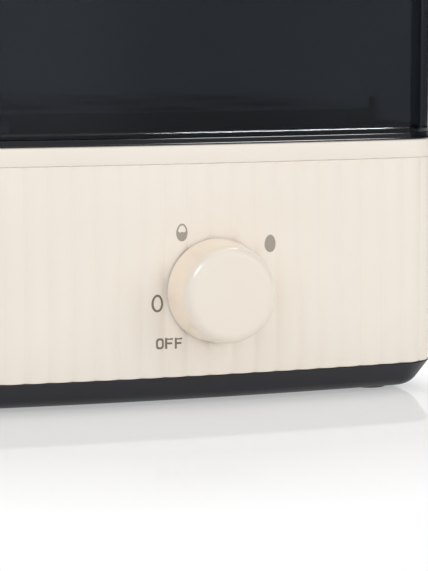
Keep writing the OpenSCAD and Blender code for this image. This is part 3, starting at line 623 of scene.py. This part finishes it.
# plain band over the reeds, with the deck inside it and a thin dark gap under it
topBand = {"seam": 84.18, "low": 84.36, "high": 90.8, "edge": 1.2, "edgeSteps": 7, "lowEdge": 0.14,
           "lowShare": 0.3, "seamIn": 0.55, "spigotIn": 3.05, "spigotT": 1.6, "spigotLow": 80.8,
           "deckLow": 87.6, "holeR": 76.0, "screwR": 1.7, "headR": 3.5, "headH": 1.6}


def makeTopBand():
    body = Skin()
    b = topBand
    low, high, edge, share = b["low"], b["high"], b["lowEdge"], b["lowShare"]
    profile = [(edge, low), (edge * share, low + edge * share), (0, low + edge)]
    for k in range(b["edgeSteps"] + 1):
        a = math.pi / 2 * k / b["edgeSteps"]
        profile.append((b["edge"] * (1 - math.cos(a)), high - b["edge"] * (1 - math.sin(a))))
    loops = [body.loop(planLoop(inset), z) for inset, z in profile]
    ring = ringOf(planLoop(0), b["holeR"])
    loops += [body.loop(ring, high), body.loop(ring, b["deckLow"])]
    inside = b["spigotIn"] + b["spigotT"]
    for inset, z in ((inside, b["deckLow"]), (inside, b["spigotLow"]), (b["spigotIn"], b["spigotLow"]),
                     (b["spigotIn"], b["seam"]), (b["seamIn"], b["seam"]), (b["seamIn"], low)):
        loops.append(body.loop(planLoop(inset), z))
    body.sweep(loops)
    band = looseMesh("plainBand", body)
    cuts = Skin()
    bottom, shelf, top = b["deckLow"] - past, high - b["headH"], high + past
    for place in postPlaces():
        cuts.turn([(0, bottom), (b["screwR"], bottom), (b["screwR"], shelf), (b["headR"], shelf),
                   (b["headR"], top), (0, top)], facets["screw"], place)
    carve(band, looseMesh("bandCuts", cuts))
    settle(band, "base", "cream", ["top_ring"], crease=30)


makeTopBand()
print("plain band made")

# black pan under the housing, with recesses for the screw heads
basePan = {"low": 1.2, "inLow": 2.2, "high": 10.8, "slopeIn": 4.2, "slopeH": 6.0, "wall": 2.0,
           "topEdge": 0.3, "edgeMiddle": (0.08, 0.1), "spigotIn": 3.05, "spigotT": 1.6, "spigotHigh": 13.8,
           "postSunk": 0.5, "holeR": 1.7, "headR": 3.5, "steps": 12}


def panProfile(low, off):  # the curve from the slope to the flat bottom, seen in section
    p = basePan
    slope = math.atan2(p["slopeH"], p["slopeIn"])
    r = (p["high"] - low - p["slopeH"]) / (1 - math.cos(slope))
    out = []
    for k in range(p["steps"] + 1):
        a = slope * (1 - k / p["steps"])
        inset = p["slopeIn"] + r * (math.sin(slope) - math.sin(a)) + off
        out.append((inset, low + r * (1 - math.cos(a)) + off))
    return out


def makePan():
    body = Skin()
    p = basePan
    top, inLow = p["high"], p["inLow"]
    edgeIn, edgeDown = p["edgeMiddle"]
    outside = [(p["topEdge"], top), (edgeIn, top - edgeDown), (0, top - p["topEdge"])]
    outer = [body.loop(planLoop(inset), z) for inset, z in outside + panProfile(p["low"], 0)]
    body.sweep(outer, False)
    inside = p["spigotIn"] + p["spigotT"]
    slope = panProfile(inLow, p["wall"])
    meet = slope[0][1] + slope[0][0] - inside
    steps = [(p["spigotIn"], top), (p["spigotIn"], p["spigotHigh"]), (inside, p["spigotHigh"]),
             (inside, meet)]
    inner = [body.loop(planLoop(inset), z) for inset, z in steps + slope]
    body.sweep([outer[0]] + inner, False)
    body.fill(outer[-1])
    body.fill(inner[-1])
    pan = looseMesh("boatPan", body)
    posts, cuts = Skin(), Skin()
    for place in postPlaces():
        posts.turn(rod(skirt["postR"], inLow + p["wall"] - p["postSunk"], top), facets["post"], place)
        cuts.turn([(0, 0), (p["headR"], 0), (p["headR"], inLow), (p["holeR"], inLow),
                   (p["holeR"], top + past), (0, top + past)], facets["screw"], place)
    carve(pan, looseMesh("panPosts", posts), "UNION")
    carve(pan, looseMesh("panCuts", cuts))
    settle(pan, "base", "satinBlack", ["base_pan"], crease=30)


makePan()
print("base pan made")

# round feet with a bore for the screw heads
feet = {"r": 6.5, "bore": 3.5, "h": 1.2, "lowEdge": 0.4, "topEdge": 0.15}


def makeFeet():
    body = Skin()
    f = feet
    corners = [(f["bore"], 0), (f["r"], 0), (f["r"], f["h"]), (f["bore"], f["h"])]
    profile = rounded(corners, [f["lowEdge"], f["lowEdge"], f["topEdge"], f["topEdge"]])
    for place in postPlaces():
        body.turn(profile, facets["foot"], place)
    settle(looseMesh("footPads", body), "base", "footRubber", ["rubber_feet"], crease=40)


makeFeet()
print("feet made")

# knob: a tapered cap with a rounded edge and a hub behind
knobCap = {"baseR": 18, "faceR": 16.3, "length": 16.4, "edge": 3.8, "wall": 2.0, "frontT": 2.4,
           "backEdge": 0.35, "hollowSoft": 0.8, "hubR": 5.4, "boreR": 3.05, "hubBack": 13.2, "hubSoft": 0.2,
           "boreShort": 0.01}


def makeKnob():
    k = knobCap
    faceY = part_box("knob")[0].y / mm - axisY
    boreEnd = k["frontT"] + k["boreShort"]
    corners = [(0, 0), (k["faceR"], 0), (k["baseR"], k["length"]), (k["baseR"] - k["wall"], k["length"]),
               (k["faceR"] - k["wall"], k["frontT"]), (k["hubR"], k["frontT"]), (k["hubR"], k["hubBack"]),
               (k["boreR"], k["hubBack"]), (k["boreR"], boreEnd), (0, boreEnd)]
    radii = [0, k["edge"]] + [k["backEdge"]] * 2 + [k["hollowSoft"]] * 2 + [k["hubSoft"]] * 2 + [0, 0]
    body = Skin()
    place = towardsFront(control["x"], faceY, control["z"])
    body.turn(rounded(corners, radii, steps=10), facets["knob"], place)
    settle(looseMesh("knobCap", body), "knob", "knobCream", ["knob"], crease=35)


makeKnob()
print("knob made")

# black bezel: edge, lip that centres the lid, collar round the dish
bezel = {"low": 90.8, "step": 91.3, "high": 93.1, "footIn": 0.1, "edgeIn": 0.4, "footEdge": 0.16,
         "edge": 0.3, "lipIn": 4.3, "lipT": 1.6, "lipHigh": 95.6,
         "soft": (0.1, 0.04, 0.04, 0.04, 0.06, 0.06, 0.4, 0.5, 0.5, 0.4),
         "seatR": 72.4, "seatZ": 90.9, "collarIn": 69.0, "collarR": 75.8, "collarLow": 86.9,
         "collarSoft": (0.4, 0, 0.3, 0.3, 0.3, 0)}


def makeBezel():
    body = Skin()
    b = bezel
    high, step, foot, edge = b["high"], b["step"], b["footEdge"], b["edge"]
    inside = b["lipIn"] + b["lipT"]
    corners = [(b["footIn"], b["low"]), (b["footIn"], step - foot), (b["footIn"] + foot, step),
               (b["edgeIn"], step), (b["edgeIn"], high - edge), (b["edgeIn"] + edge, high),
               (b["lipIn"], high), (b["lipIn"], b["lipHigh"]), (inside, b["lipHigh"]), (inside, high)]
    loops = [body.loop(planLoop(inset), z) for inset, z in rounded(corners, b["soft"])]
    around = planLoop(0)
    collar = [(b["seatR"], high), (b["seatR"], b["seatZ"]), (b["collarIn"], b["seatZ"]),
              (b["collarIn"], b["collarLow"]), (b["collarR"], b["collarLow"]), (b["collarR"], b["low"])]
    loops += [body.loop(ringOf(around, r), z) for r, z in rounded(collar, b["collarSoft"], steps=4)]
    body.sweep(loops)
    settle(looseMesh("dishBezel", body), "base", "bezelBlack", ["plate_bezel"], crease=35)


makeBezel()
print("bezel made")

# steel water dish with its flange and stud
dish = {"top": 92.7, "floor": 83.7, "under": 81.7, "r": 72.0, "flangeT": 1.0, "inR": 67.0, "taper": 2.8,
        "skin": 1.2, "studR": 2.5, "soft": (0, 0.4, 0, 1.5, 0.4, 0.3, 0.3, 1.4, 3.0, 0)}


def makeDish():
    d = dish
    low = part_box("heating_plate")[0].z / mm
    floorR, flange = d["inR"] - d["taper"], d["top"] - d["flangeT"]
    corners = [(0, low), (d["studR"], low), (d["studR"], d["under"]), (floorR + d["skin"], d["under"]),
               (d["inR"] + d["skin"], flange), (d["r"], flange), (d["r"], d["top"]), (d["inR"], d["top"]),
               (floorR, d["floor"]), (0, d["floor"])]
    body = Skin()
    body.turn(rounded(corners, d["soft"], steps=7), facets["dish"])
    settle(looseMesh("waterDish", body), "base", "dishSteel", ["heating_plate"], crease=40)


makeDish()
print("dish made")

# cord gland in the rear wall: a square neck and flange, a round nose and a plain bore
gland = {"w": 12.0, "neckSoft": 0.6, "flangeW": 17.0, "flangeT": 2.4, "flangeSoft": 0.7, "nose": 4.6,
         "rootR": 6.0, "noseR": 5.4, "noseSoft": 0.9, "boreR": 3.4, "flare": 0.6, "flareDeep": 0.5,
         "clear": 0.1, "overlap": 0.5}


def makeGland():
    g = gland
    low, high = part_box("cord_gland")
    start, end = low.y / mm - axisY, high.y / mm - axisY
    root, length = end - g["nose"], end - start
    neck, flange, nose, bore = Skin(), Skin(), Skin(), Skin()
    for skin, w, y0, y1, soft in ((neck, g["w"], start, root - g["overlap"], g["neckSoft"]),
                                  (flange, g["flangeW"], root - g["flangeT"], root, g["flangeSoft"])):
        roundBox(skin, (-w / 2, y0, inlet["z"] - w / 2), (w / 2, y1, inlet["z"] + w / 2), soft, still)
    cone = [(0, -past), (g["rootR"], -past), (g["rootR"], 0), (g["noseR"], g["nose"]), (0, g["nose"])]
    cone = rounded(cone, [0, 0, 0, g["noseSoft"], 0], steps=6)
    nose.turn(cone, facets["nose"], towardsFront(0, root, inlet["z"]))
    mouth = length + g["clear"]
    hole = [(0, -past), (g["boreR"], -past), (g["boreR"], length - g["flareDeep"]),
            (g["boreR"] + g["flare"], mouth), (0, mouth)]
    bore.turn(hole, facets["bore"], towardsFront(0, start, inlet["z"]))
    bush = looseMesh("cordBush", neck)
    carve(bush, looseMesh("glandFlange", flange), "UNION")
    carve(bush, looseMesh("glandNose", nose), "UNION")
    carve(bush, looseMesh("glandBore", bore))
    settle(bush, "base", "satinBlack", ["cord_gland"], crease=40)


makeGland()
print("gland made")

# tray with seven seats: a plate with four flats, a skirt down each flat, hanging collars, corner feet
# and two finger tabs
tray = {"half": 80.0, "plateIn": 0.1, "arcSteps": 12, "skirtLen": 124.0, "skirtT": 2.0, "low": 93.1,
        "skirtLow": 93.7, "top": 101.2, "t": 2.2, "edge": 0.5, "seatR": 18.0, "seatRing": 54.0, "seats": 6,
        "seatChamfer": 0.9, "seatSoft": (0, 0.6, 0.5, 0.5, 0), "collarW": 2.4, "collarH": 1.6, "slotR": 3.6,
        "slotRing": 68.4, "slotEdge": ((0.3, 0), (0.1, 0.1), (0, 0.3)), "earW": 6.2, "earIn": 3.0,
        "earEnd": 105.2, "gap": 0.1, "soft": 0.5, "gripT": 2.0, "gripUp": 1, "gripHigh": 105.4,
        "gripSoft": 0.6}


def plateLoop(inset):
    t = tray
    half, end, steps = t["half"] - t["plateIn"] - inset, t["skirtLen"] / 2, t["arcSteps"]
    r = math.hypot(t["half"], end) - inset
    first = math.acos(half / r)
    out = []
    for k in range(4):
        arc = [k * math.pi / 2 + first + (math.pi / 2 - 2 * first) * j / steps for j in range(steps + 1)]
        out += [arcPoint(0, 0, r, a) for a in arc]
    return out


def makeTray():
    t = tray
    body = Skin()
    top, soft, gap = t["top"], t["edge"], t["gap"]
    low = top - t["t"]
    levels = ((soft, low), (0, low + soft), (0, top - soft), (soft, top))
    rims = [body.loop(plateLoop(inset), z) for inset, z in levels]
    body.sweep(rims, False)
    outer, under, chamfer = t["seatR"] + t["collarW"], low - t["collarH"], t["seatChamfer"]
    seat = rounded([(t["seatR"] + chamfer, top), (t["seatR"], top - chamfer), (t["seatR"], under),
                    (outer, under), (outer, low)], t["seatSoft"])
    slot = [(t["slotR"] + wide, top - deep) for wide, deep in t["slotEdge"]] + [(t["slotR"], low)]
    around = [2 * math.pi * (k + 0.5) / t["seats"] for k in range(t["seats"])]
    between = [2 * math.pi * (k + 1) / t["seats"] for k in range(t["seats"])]
    seats = [(0, 0)] + [arcPoint(0, 0, t["seatRing"], a) for a in around]
    holes = [(*spot, seat, facets["seat"]) for spot in seats]
    holes += [(*arcPoint(0, 0, t["slotRing"], a), slot, facets["slot"]) for a in between]
    above, below = [], []
    for cx, cy, wall, count in holes:
        loops = [body.loop(circle(cx, cy, r, count), z) for r, z in wall]
        body.sweep(loops, False)
        above.append(loops[0])
        below.append(loops[-1])
    body.fill(rims[-1], above)
    body.fill(rims[0], below)
    plate = looseMesh("eggTray", body)
    sides, ears, grips = Skin(), Skin(), Skin()
    end, wide = t["skirtLen"] / 2, t["earW"] / 2
    reach = math.hypot(t["half"], end) - t["earIn"]
    for k in range(4):
        flat, slant = spunBy(90 * k), spunBy(45 + 90 * k)
        near = (t["half"] - t["skirtT"], -end, t["skirtLow"])
        roundBox(sides, near, (t["half"], end, top), t["soft"], flat)
        roundBox(ears, (reach, -wide, t["low"]), (t["earEnd"], wide, top - gap), t["soft"], slant)
        if k % 2:
            near = (t["earEnd"] - t["gripT"], -wide + gap, t["low"] + t["gripUp"])
            roundBox(grips, near, (t["earEnd"] - gap, wide - gap, t["gripHigh"]), t["gripSoft"], slant)
    for name, skin in (("traySides", sides), ("trayEars", ears), ("trayGrips", grips)):
        carve(plate, looseMesh(name, skin), "UNION")
    settle(plate, "tray", "trayBlack", ["egg_tray"], crease=32)


makeTray()
print("tray made")

# smoked lid: one thick moulding with a rim bead, a drafted wall, a rounded top, steam holes and screw holes
lid = {"low": 93.12, "rimIn": 0.5, "rimHigh": 94.92, "bevel": 0.29, "rootRise": 0.05, "wallIn": 0.86,
       "draft": 0.1, "wall": 2.3, "wallTop": 149.1, "edge": 18.0, "steps": 14, "rimCorner": 14.0,
       "wallCorner": 14.2, "inCorner": 15.5, "leastCorner": 8.0,
       "soft": (0.2, 0.25, 0.08, 0.08, 0.08, 0), "softSteps": 4,
       "steamR": 2.5, "steamY": 44.0, "steamPitch": 14.0, "steamSoft": 0.4,
       "screwX": 33.0, "screwR": 1.7, "screwSoft": 0.1}


def lidLoop(body, inset, z, corner):
    return body.loop(planLoop(inset, max(lid[corner] - inset, lid["leastCorner"])), z)


def lidArch(off):
    out = []
    r = lid["edge"] - off
    for k in range(lid["steps"] + 1):
        a = math.pi / 2 * k / lid["steps"]
        inset = lid["wallIn"] + lid["draft"] + off + r * (1 - math.cos(a))
        out.append((inset, lid["wallTop"] + r * math.sin(a)))
    return out


def makeLid():
    body = Skin()
    d = lid
    corners = [(d["wallIn"] + d["wall"], d["low"]), (d["rimIn"], d["low"]),
               (d["rimIn"], d["rimHigh"] - d["bevel"]), (d["rimIn"] + d["bevel"], d["rimHigh"]),
               (d["wallIn"], d["rimHigh"] + d["rootRise"]),
               (d["wallIn"] + d["draft"], d["wallTop"])]
    rim = rounded(corners, d["soft"], d["softSteps"])
    each = d["softSteps"] + 1  # points to each rounded corner; the last corner is the arch's first point
    arch, hollow = lidArch(0), lidArch(d["wall"])
    under = [lidLoop(body, inset, z, "inCorner") for inset, z in rim[:each]]
    bead = [lidLoop(body, inset, z, "rimCorner") for inset, z in rim[each:4 * each]]
    outer = [lidLoop(body, inset, z, "wallCorner") for inset, z in rim[4 * each:5 * each] + arch]
    inside = [lidLoop(body, inset, z, "inCorner") for inset, z in hollow]
    body.sweep(inside[::-1] + under + bead + outer, False)
    holesTop, holesUnder = [], []
    top, low = arch[-1][1], hollow[-1][1]
    spots = [(k * d["steamPitch"], d["steamY"], d["steamR"], d["steamSoft"]) for k in (-1, 0, 1)]
    spots += [(side * d["screwX"], 0, d["screwR"], d["screwSoft"]) for side in (-1, 1)]
    for x, y, r, soft in spots:
        wall = [(r + soft, low), (r, low + soft), (r, top - soft), (r + soft, top)]
        loops = [body.loop(circle(x, y, radius, facets["lidHole"]), z) for radius, z in wall]
        body.sweep(loops, False)
        holesUnder.append(loops[0])
        holesTop.append(loops[-1])
    body.fill(outer[-1], holesTop)
    body.fill(inside[-1], holesUnder)
    settle(looseMesh("smokedLid", body), "lid", "smokedClear", ["lid_shell"], crease=30)


makeLid()
print("lid made")

# arched handle with soft edges
handle = {"length": 84.0, "w": 18.0, "h": 28.0, "t": 9.0, "outR": 14.0, "soft": 2.4, "low": 167.1,
          "pilotR": 1.6}


def makeHandle():
    h = handle
    half, under, inR = h["length"] / 2, h["h"] - h["t"], h["outR"] - h["t"]
    gap = half - 2 * h["t"]
    corners = [(-half, 0), (-half, h["h"]), (half, h["h"]), (half, 0), (gap, 0), (gap, under),
               (-gap, under), (-gap, 0)]
    outline = rounded(corners, [0, h["outR"], h["outR"], 0, 0, inR, inR, 0], steps=12)
    form = bmesh.new()
    face = form.faces.new([form.verts.new((x, -h["w"] / 2, z)) for x, z in outline])
    made = bmesh.ops.extrude_face_region(form, geom=[face])
    for v in made["geom"]:
        if isinstance(v, bmesh.types.BMVert):
            v.co.y = h["w"] / 2
    bmesh.ops.recalc_face_normals(form, faces=form.faces)
    rims = []  # the edges of both flat sides, without those on the lid
    for e in form.edges:
        a, b = [v.co for v in e.verts]
        if abs(a.y - b.y) < tiny and max(a.z, b.z) > tiny:
            rims.append(e)
    bevelled(form, rims, h["soft"], steps=5)
    body = Skin()
    points = [(v.co.x, v.co.y, v.co.z + h["low"]) for v in form.verts]
    body.add(points, [[v.index for v in f.verts] for f in form.faces])
    form.free()
    grip = looseMesh("liftHandle", body)
    cuts = Skin()
    for side in (-1, 1):
        place = Matrix.Translation((side * lid["screwX"], 0, h["low"]))
        cuts.turn(rod(h["pilotR"], -past, under), facets["pilot"], place)
    carve(grip, looseMesh("handleCuts", cuts))
    settle(grip, "lid", "satinBlack", ["lid_handle"], crease=30)


makeHandle()
print("handle made")

# prints on the reeds: a word and three plain egg signs, each a thin skin that follows the reeds
prints = {"off": (-10.9, 22.7), "soft": (-15.1, 36.7), "medium": (-6.2, 60.8), "hard": (26.1, 55.9),
          "eggW": 4.3, "eggH": 6.1, "eggTaper": 0.07, "eggSteps": 48, "line": 0.62, "bold": 0.78,
          "letterH": 3.8, "letterW": 2.95, "letterLine": 0.7, "letterStep": 3.3, "letterIn": 0.15,
          "outR": 1.15, "inR": 0.65, "topShort": 0.35, "middleShort": 0.2,
          "fillUp": 0.1, "waveH": 0.16, "waveRate": 4.6, "waveSteps": 5, "waveStep": 0.25, "waveClear": 0.3,
          "mesh": 0.45, "lift": 0.03, "thick": 0.05}


def eggOutline(spot, trim=0):  # an egg at a spot, smaller by trim all round
    cx, cz = spot
    count = prints["eggSteps"]
    w, h = prints["eggW"] - 2 * trim, prints["eggH"] - 2 * trim
    out = []
    for k in range(count):
        a = 2 * math.pi * k / count
        tall = math.sin(a)
        out.append((cx + w / 2 * math.cos(a) * (1 - prints["eggTaper"] * tall), cz + h / 2 * tall))
    return out


def printSkin(skin, outer, holes=()):  # fills an outline with small faces and lays them on the reeds
    def inked(point):
        return within(point, outer) and not any(within(point, hole) for hole in holes)

    flat, edges, mesh = [], [], prints["mesh"]
    for loop in [outer, *holes]:
        first = len(flat)
        flat += [Vector(p) for p in loop]
        edges += [(first + k, first + (k + 1) % len(loop)) for k in range(len(loop))]
    xs, zs = [p.x for p in flat], [p.y for p in flat]
    for i in range(int((max(xs) - min(xs)) / mesh) + 1):
        for j in range(int((max(zs) - min(zs)) / mesh) + 1):
            p = (min(xs) + mesh * (i + 0.5), min(zs) + mesh * (j + 0.5))
            if inked(p):
                flat.append(Vector(p))
    spots, _, made, _, _, _ = delaunay_2d_cdt(flat, edges, [], 1, tiny)
    faces = []
    for face in made:
        if inked([sum(spots[i][j] for i in face) / len(face) for j in (0, 1)]):
            faces.append(list(face))
    used = sorted({i for f in faces for i in f})
    number = {i: k for k, i in enumerate(used)}
    count = len(used)
    points = []
    for depth in (prints["lift"], prints["lift"] - prints["thick"]):
        points += [(spots[i].x, frontWall(spots[i].x) - depth, spots[i].y) for i in used]
    faces = [[number[i] for i in f] for f in faces]
    sides = dict.fromkeys((a, b) for f in faces for a, b in zip(f, f[1:] + f[:1]))
    wall = [(b, a, a + count, b + count) for a, b in sides if (b, a) not in sides]
    back = [tuple(i + count for i in reversed(f)) for f in faces]
    skin.add(points, [tuple(f) for f in faces] + back + wall)


def stadium(cx, cz, w, h, r):  # an upright round-cornered outline about a point
    left, right, low, high = cx - w / 2, cx + w / 2, cz - h / 2, cz + h / 2
    return rounded([(left, low), (right, low), (right, high), (left, high)], [r] * 4, steps=8)


def letterF(x, z):  # outline of the letter, from its lower left corner
    p = prints
    line, top = p["letterLine"], z + p["letterH"]
    stem, arm = x + line, x + p["letterW"] - p["topShort"]
    middle, shortArm = z + p["letterH"] / 2, arm - p["middleShort"]
    below, above = middle - line / 2, middle + line / 2
    return [(x, z), (stem, z), (stem, below), (shortArm, below), (shortArm, above), (stem, above),
            (stem, top - line), (arm, top - line), (arm, top), (x, top)]


def makePrints():
    p = prints
    ink, pale = Skin(), Skin()
    cx, cz = p["off"]
    line, tall, wide, first = p["letterLine"], p["letterH"], p["letterW"], cx - p["letterStep"]
    hollow = stadium(first, cz, wide - 2 * line, tall - 2 * line, p["inR"])
    printSkin(ink, stadium(first, cz, wide, tall, p["outR"]), [hollow])
    for k in (0, 1):
        printSkin(ink, letterF(cx - wide / 2 + p["letterIn"] + k * p["letterStep"], cz - tall / 2))
    printSkin(ink, eggOutline(p["soft"]), [eggOutline(p["soft"], p["bold"])])
    settle(looseMesh("switchMarks", ink, False), "base", "inkGrey", (), crease=40)
    cx, cz = p["medium"]
    level, steps = cz + p["fillUp"], p["waveSteps"]
    across = [k * p["waveStep"] for k in range(-steps, steps + 1)]
    wave = [(cx + x, level + p["waveH"] * math.cos(p["waveRate"] * x)) for x in across]
    upper = [q for q in eggOutline(p["medium"], p["line"]) if q[1] > level + p["waveClear"]]
    upper.sort(key=lambda q: math.atan2(q[1] - level, q[0] - cx))
    printSkin(pale, eggOutline(p["medium"]), [upper + wave])
    printSkin(pale, eggOutline(p["hard"]))
    settle(looseMesh("eggMarks", pale, False), "base", "inkPale", (), crease=40)


makePrints()
print("prints made")

# pieces that stay as the part has them get their own finish
carried = {
    "screwSteel": ("base_screws", "ring_screws", "handle_screws", "control_nut"),
    "pressedSteel": ("clamp_bar", "fuse_strap"),
    "heaterSheath": ("heating_element",),
    "warmBrass": ("clamp_nut", "knob_clip"),
    "sealSilicone": ("plate_seal",),
    "footRubber": ("handle_washers",),
    "sounderBlack": ("safety_thermostat", "buzzer"),
    "controlNylon": ("thermal_fuse", "rotary_control", "control_shaft", "terminal_block"),
    "brownSleeve": ("live_lead", "control_lead", "thermostat_lead"),
    "blueSleeve": ("neutral_lead", "fuse_lead"),
    "stripedSleeve": ("earth_lead",),
}
for finish, names in carried.items():
    for name in names:
        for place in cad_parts[name].material_slots:
            place.material = finishes[finish]
print("carried pieces finished:", sum(len(names) for names in carried.values()))

# white table and soft studio light; the glint, the spark and the dark card only show in glossy surfaces
table = {"size": 8.0, "tones": (0.93, 0.96), "mottle": 3, "rough": (0.04, 0.06), "fixed": {"IOR": 1.2},
         "glow": (0.39, 1.0), "glowReach": (0.17, 0.255), "glowSide": (0.087, 0.104)}
card = {"walls": (((0.623, -0.74), (0.623, 0.5), 0.078, 1.15), ((0.623, 0.5), (0.3, 0.85), 0, 0.07)),
        "tone": (18, 19, 22), "deep": (12, 13, 16), "patch": 40, "speck": 300, "rough": (0.8, 0.95),
        "fixed": {"Specular IOR Level": 0.1}}
lamps = {
    "key": {"at": (1.45, -1.45, 0.9), "wide": 1.5, "deep": 1.3, "power": 12.4, "gloss": False},
    "fill": {"at": (-1.45, -1.35, 1.1), "wide": 2.2, "deep": 2.0, "power": 10.5},
    "front": {"at": (-0.2, -2.3, 0.3), "wide": 1.4, "deep": 0.6, "power": 5.7, "gloss": False},
    "top": {"at": (0.1, 0.1, 1.9), "wide": 1.6, "deep": 1.6, "power": 3.6},
    "glint": {"at": (0.515, -0.2, 1.15), "wide": 0.29, "deep": 0.35, "power": 10.4, "diffuse": False,
              "lights": ("smokedLid", "dishBezel")},
    "spark": {"at": (-1.4, -1.3, 1.35), "wide": 0.62, "deep": 0.62, "power": 13.0, "diffuse": False,
              "lights": ("knobCap",)},
}
lampAim = (0, 0, 0.06)
skyLight = 0.54  # strength of the sky where it only lights; it is white where it shows


def whiteSeen(start):  # 1 for rays that should find a white background: seen, mirrored or looked through
    seen = start.make("ShaderNodeLightPath", {}, {}, "Is Camera Ray")
    rays = seen.socket.node.outputs
    gloss, through = [Wire(start.tree, rays[name]) for name in ("Is Glossy Ray", "Is Transmission Ray")]
    return start.math("MAXIMUM", seen, start.math("MAXIMUM", gloss, through))


def stagePlane(name, points, faces):
    mesh = bpy.data.meshes.new(name)
    mesh.from_pydata(points, [], faces)
    plane = bpy.data.objects.new(name, mesh)
    bpy.context.scene.collection.objects.link(plane)
    return plane


def makeTable():
    t = table
    half = t["size"] / 2
    points = [(-half, -half, 0), (half, -half, 0), (half, half, 0), (-half, half, 0)]
    floor = stagePlane("table", points, [(0, 1, 2, 3)])
    material, shader, place = blankFinish("whiteTable", t["fixed"])
    mottle = grain(place, t["mottle"])
    feed(shader, "Base Color", blendColour(mottle, *((v, v, v, 1) for v in t["tones"])))
    feed(shader, "Roughness", spread(mottle, *t["rough"]))
    # painted light: the table glows white where it is seen, mirrored or looked through, more the further
    # from the part and beside it, which lightens its shadow
    glow = place.make("ShaderNodeEmission", {}, {"Color": (1, 1, 1, 1), "Strength": 1.0})
    reach = place.make("ShaderNodeVectorMath", {"operation": "LENGTH"}, {0: place}, 1)
    away = spread(reach, 0, 1, *t["glowReach"])
    aside = spread(sizeOf(partOf(place, 0)), 0, 1, *t["glowSide"])
    clear = place.math("MAXIMUM", away, aside)  # 1 away from the part and beside it, where the table's glow is full and paints out its shade and shadow
    share = whiteSeen(place) * spread(clear, *t["glow"], 0, 1)
    lit = Wire(place.tree, shader.outputs[0])
    mixed = place.make("ShaderNodeMixShader", {}, {0: share, 1: lit, 2: glow})
    feed(place.tree.nodes["Material Output"], "Surface", mixed)
    floor.data.materials.append(material)


def makeCard():
    c = card
    points = [(x, y, z) for *ends, low, high in c["walls"] for x, y in ends for z in (low, high)]
    plane = stagePlane("darkCard", points, [(0, 2, 3, 1), (4, 6, 7, 5)])
    material, shader, place = blankFinish("cardBlack", c["fixed"])
    patch = grain(place, c["patch"], detail=3)
    feed(shader, "Base Color", blendColour(patch, shade(*c["tone"]), shade(*c["deep"])))
    feed(shader, "Roughness", spread(grain(place, c["speck"]), *c["rough"]))
    plane.data.materials.append(material)
    for rays in ("camera", "diffuse", "transmission", "shadow"):  # only glossy rays meet it
        setattr(plane, "visible_" + rays, False)


def makeLamp(name):
    row = lamps[name]
    data = bpy.data.lights.new(name, "AREA")
    data.shape, data.size, data.size_y, data.energy = "RECTANGLE", row["wide"], row["deep"], row["power"]
    lamp = bpy.data.objects.new(name, data)
    bpy.context.scene.collection.objects.link(lamp)
    lamp.location = row["at"]
    lamp.rotation_euler = (Vector(lampAim) - lamp.location).to_track_quat("-Z", "Y").to_euler()
    lamp.visible_diffuse = row.get("diffuse", True)
    lamp.visible_glossy = row.get("gloss", True)
    if "lights" in row:
        lit = bpy.data.collections.new(name + "Lit")
        for piece in row["lights"]:
            lit.objects.link(bpy.data.objects[piece])
        lamp.light_linking.receiver_collection = lit


def makeSky():
    world = bpy.data.worlds.new("studio")
    bpy.context.scene.world = world
    world.use_nodes = True
    back = world.node_tree.nodes["Background"]
    back.inputs["Color"].default_value = (1, 1, 1, 1)
    white = whiteSeen(Wire(world.node_tree, back.outputs[0]))
    feed(back, "Strength", white * (1 - skyLight) + skyLight)


makeTable()
makeCard()
for lampName in lamps:
    makeLamp(lampName)
makeSky()
bpy.context.scene.view_settings.view_transform = "Standard"
print("studio made")
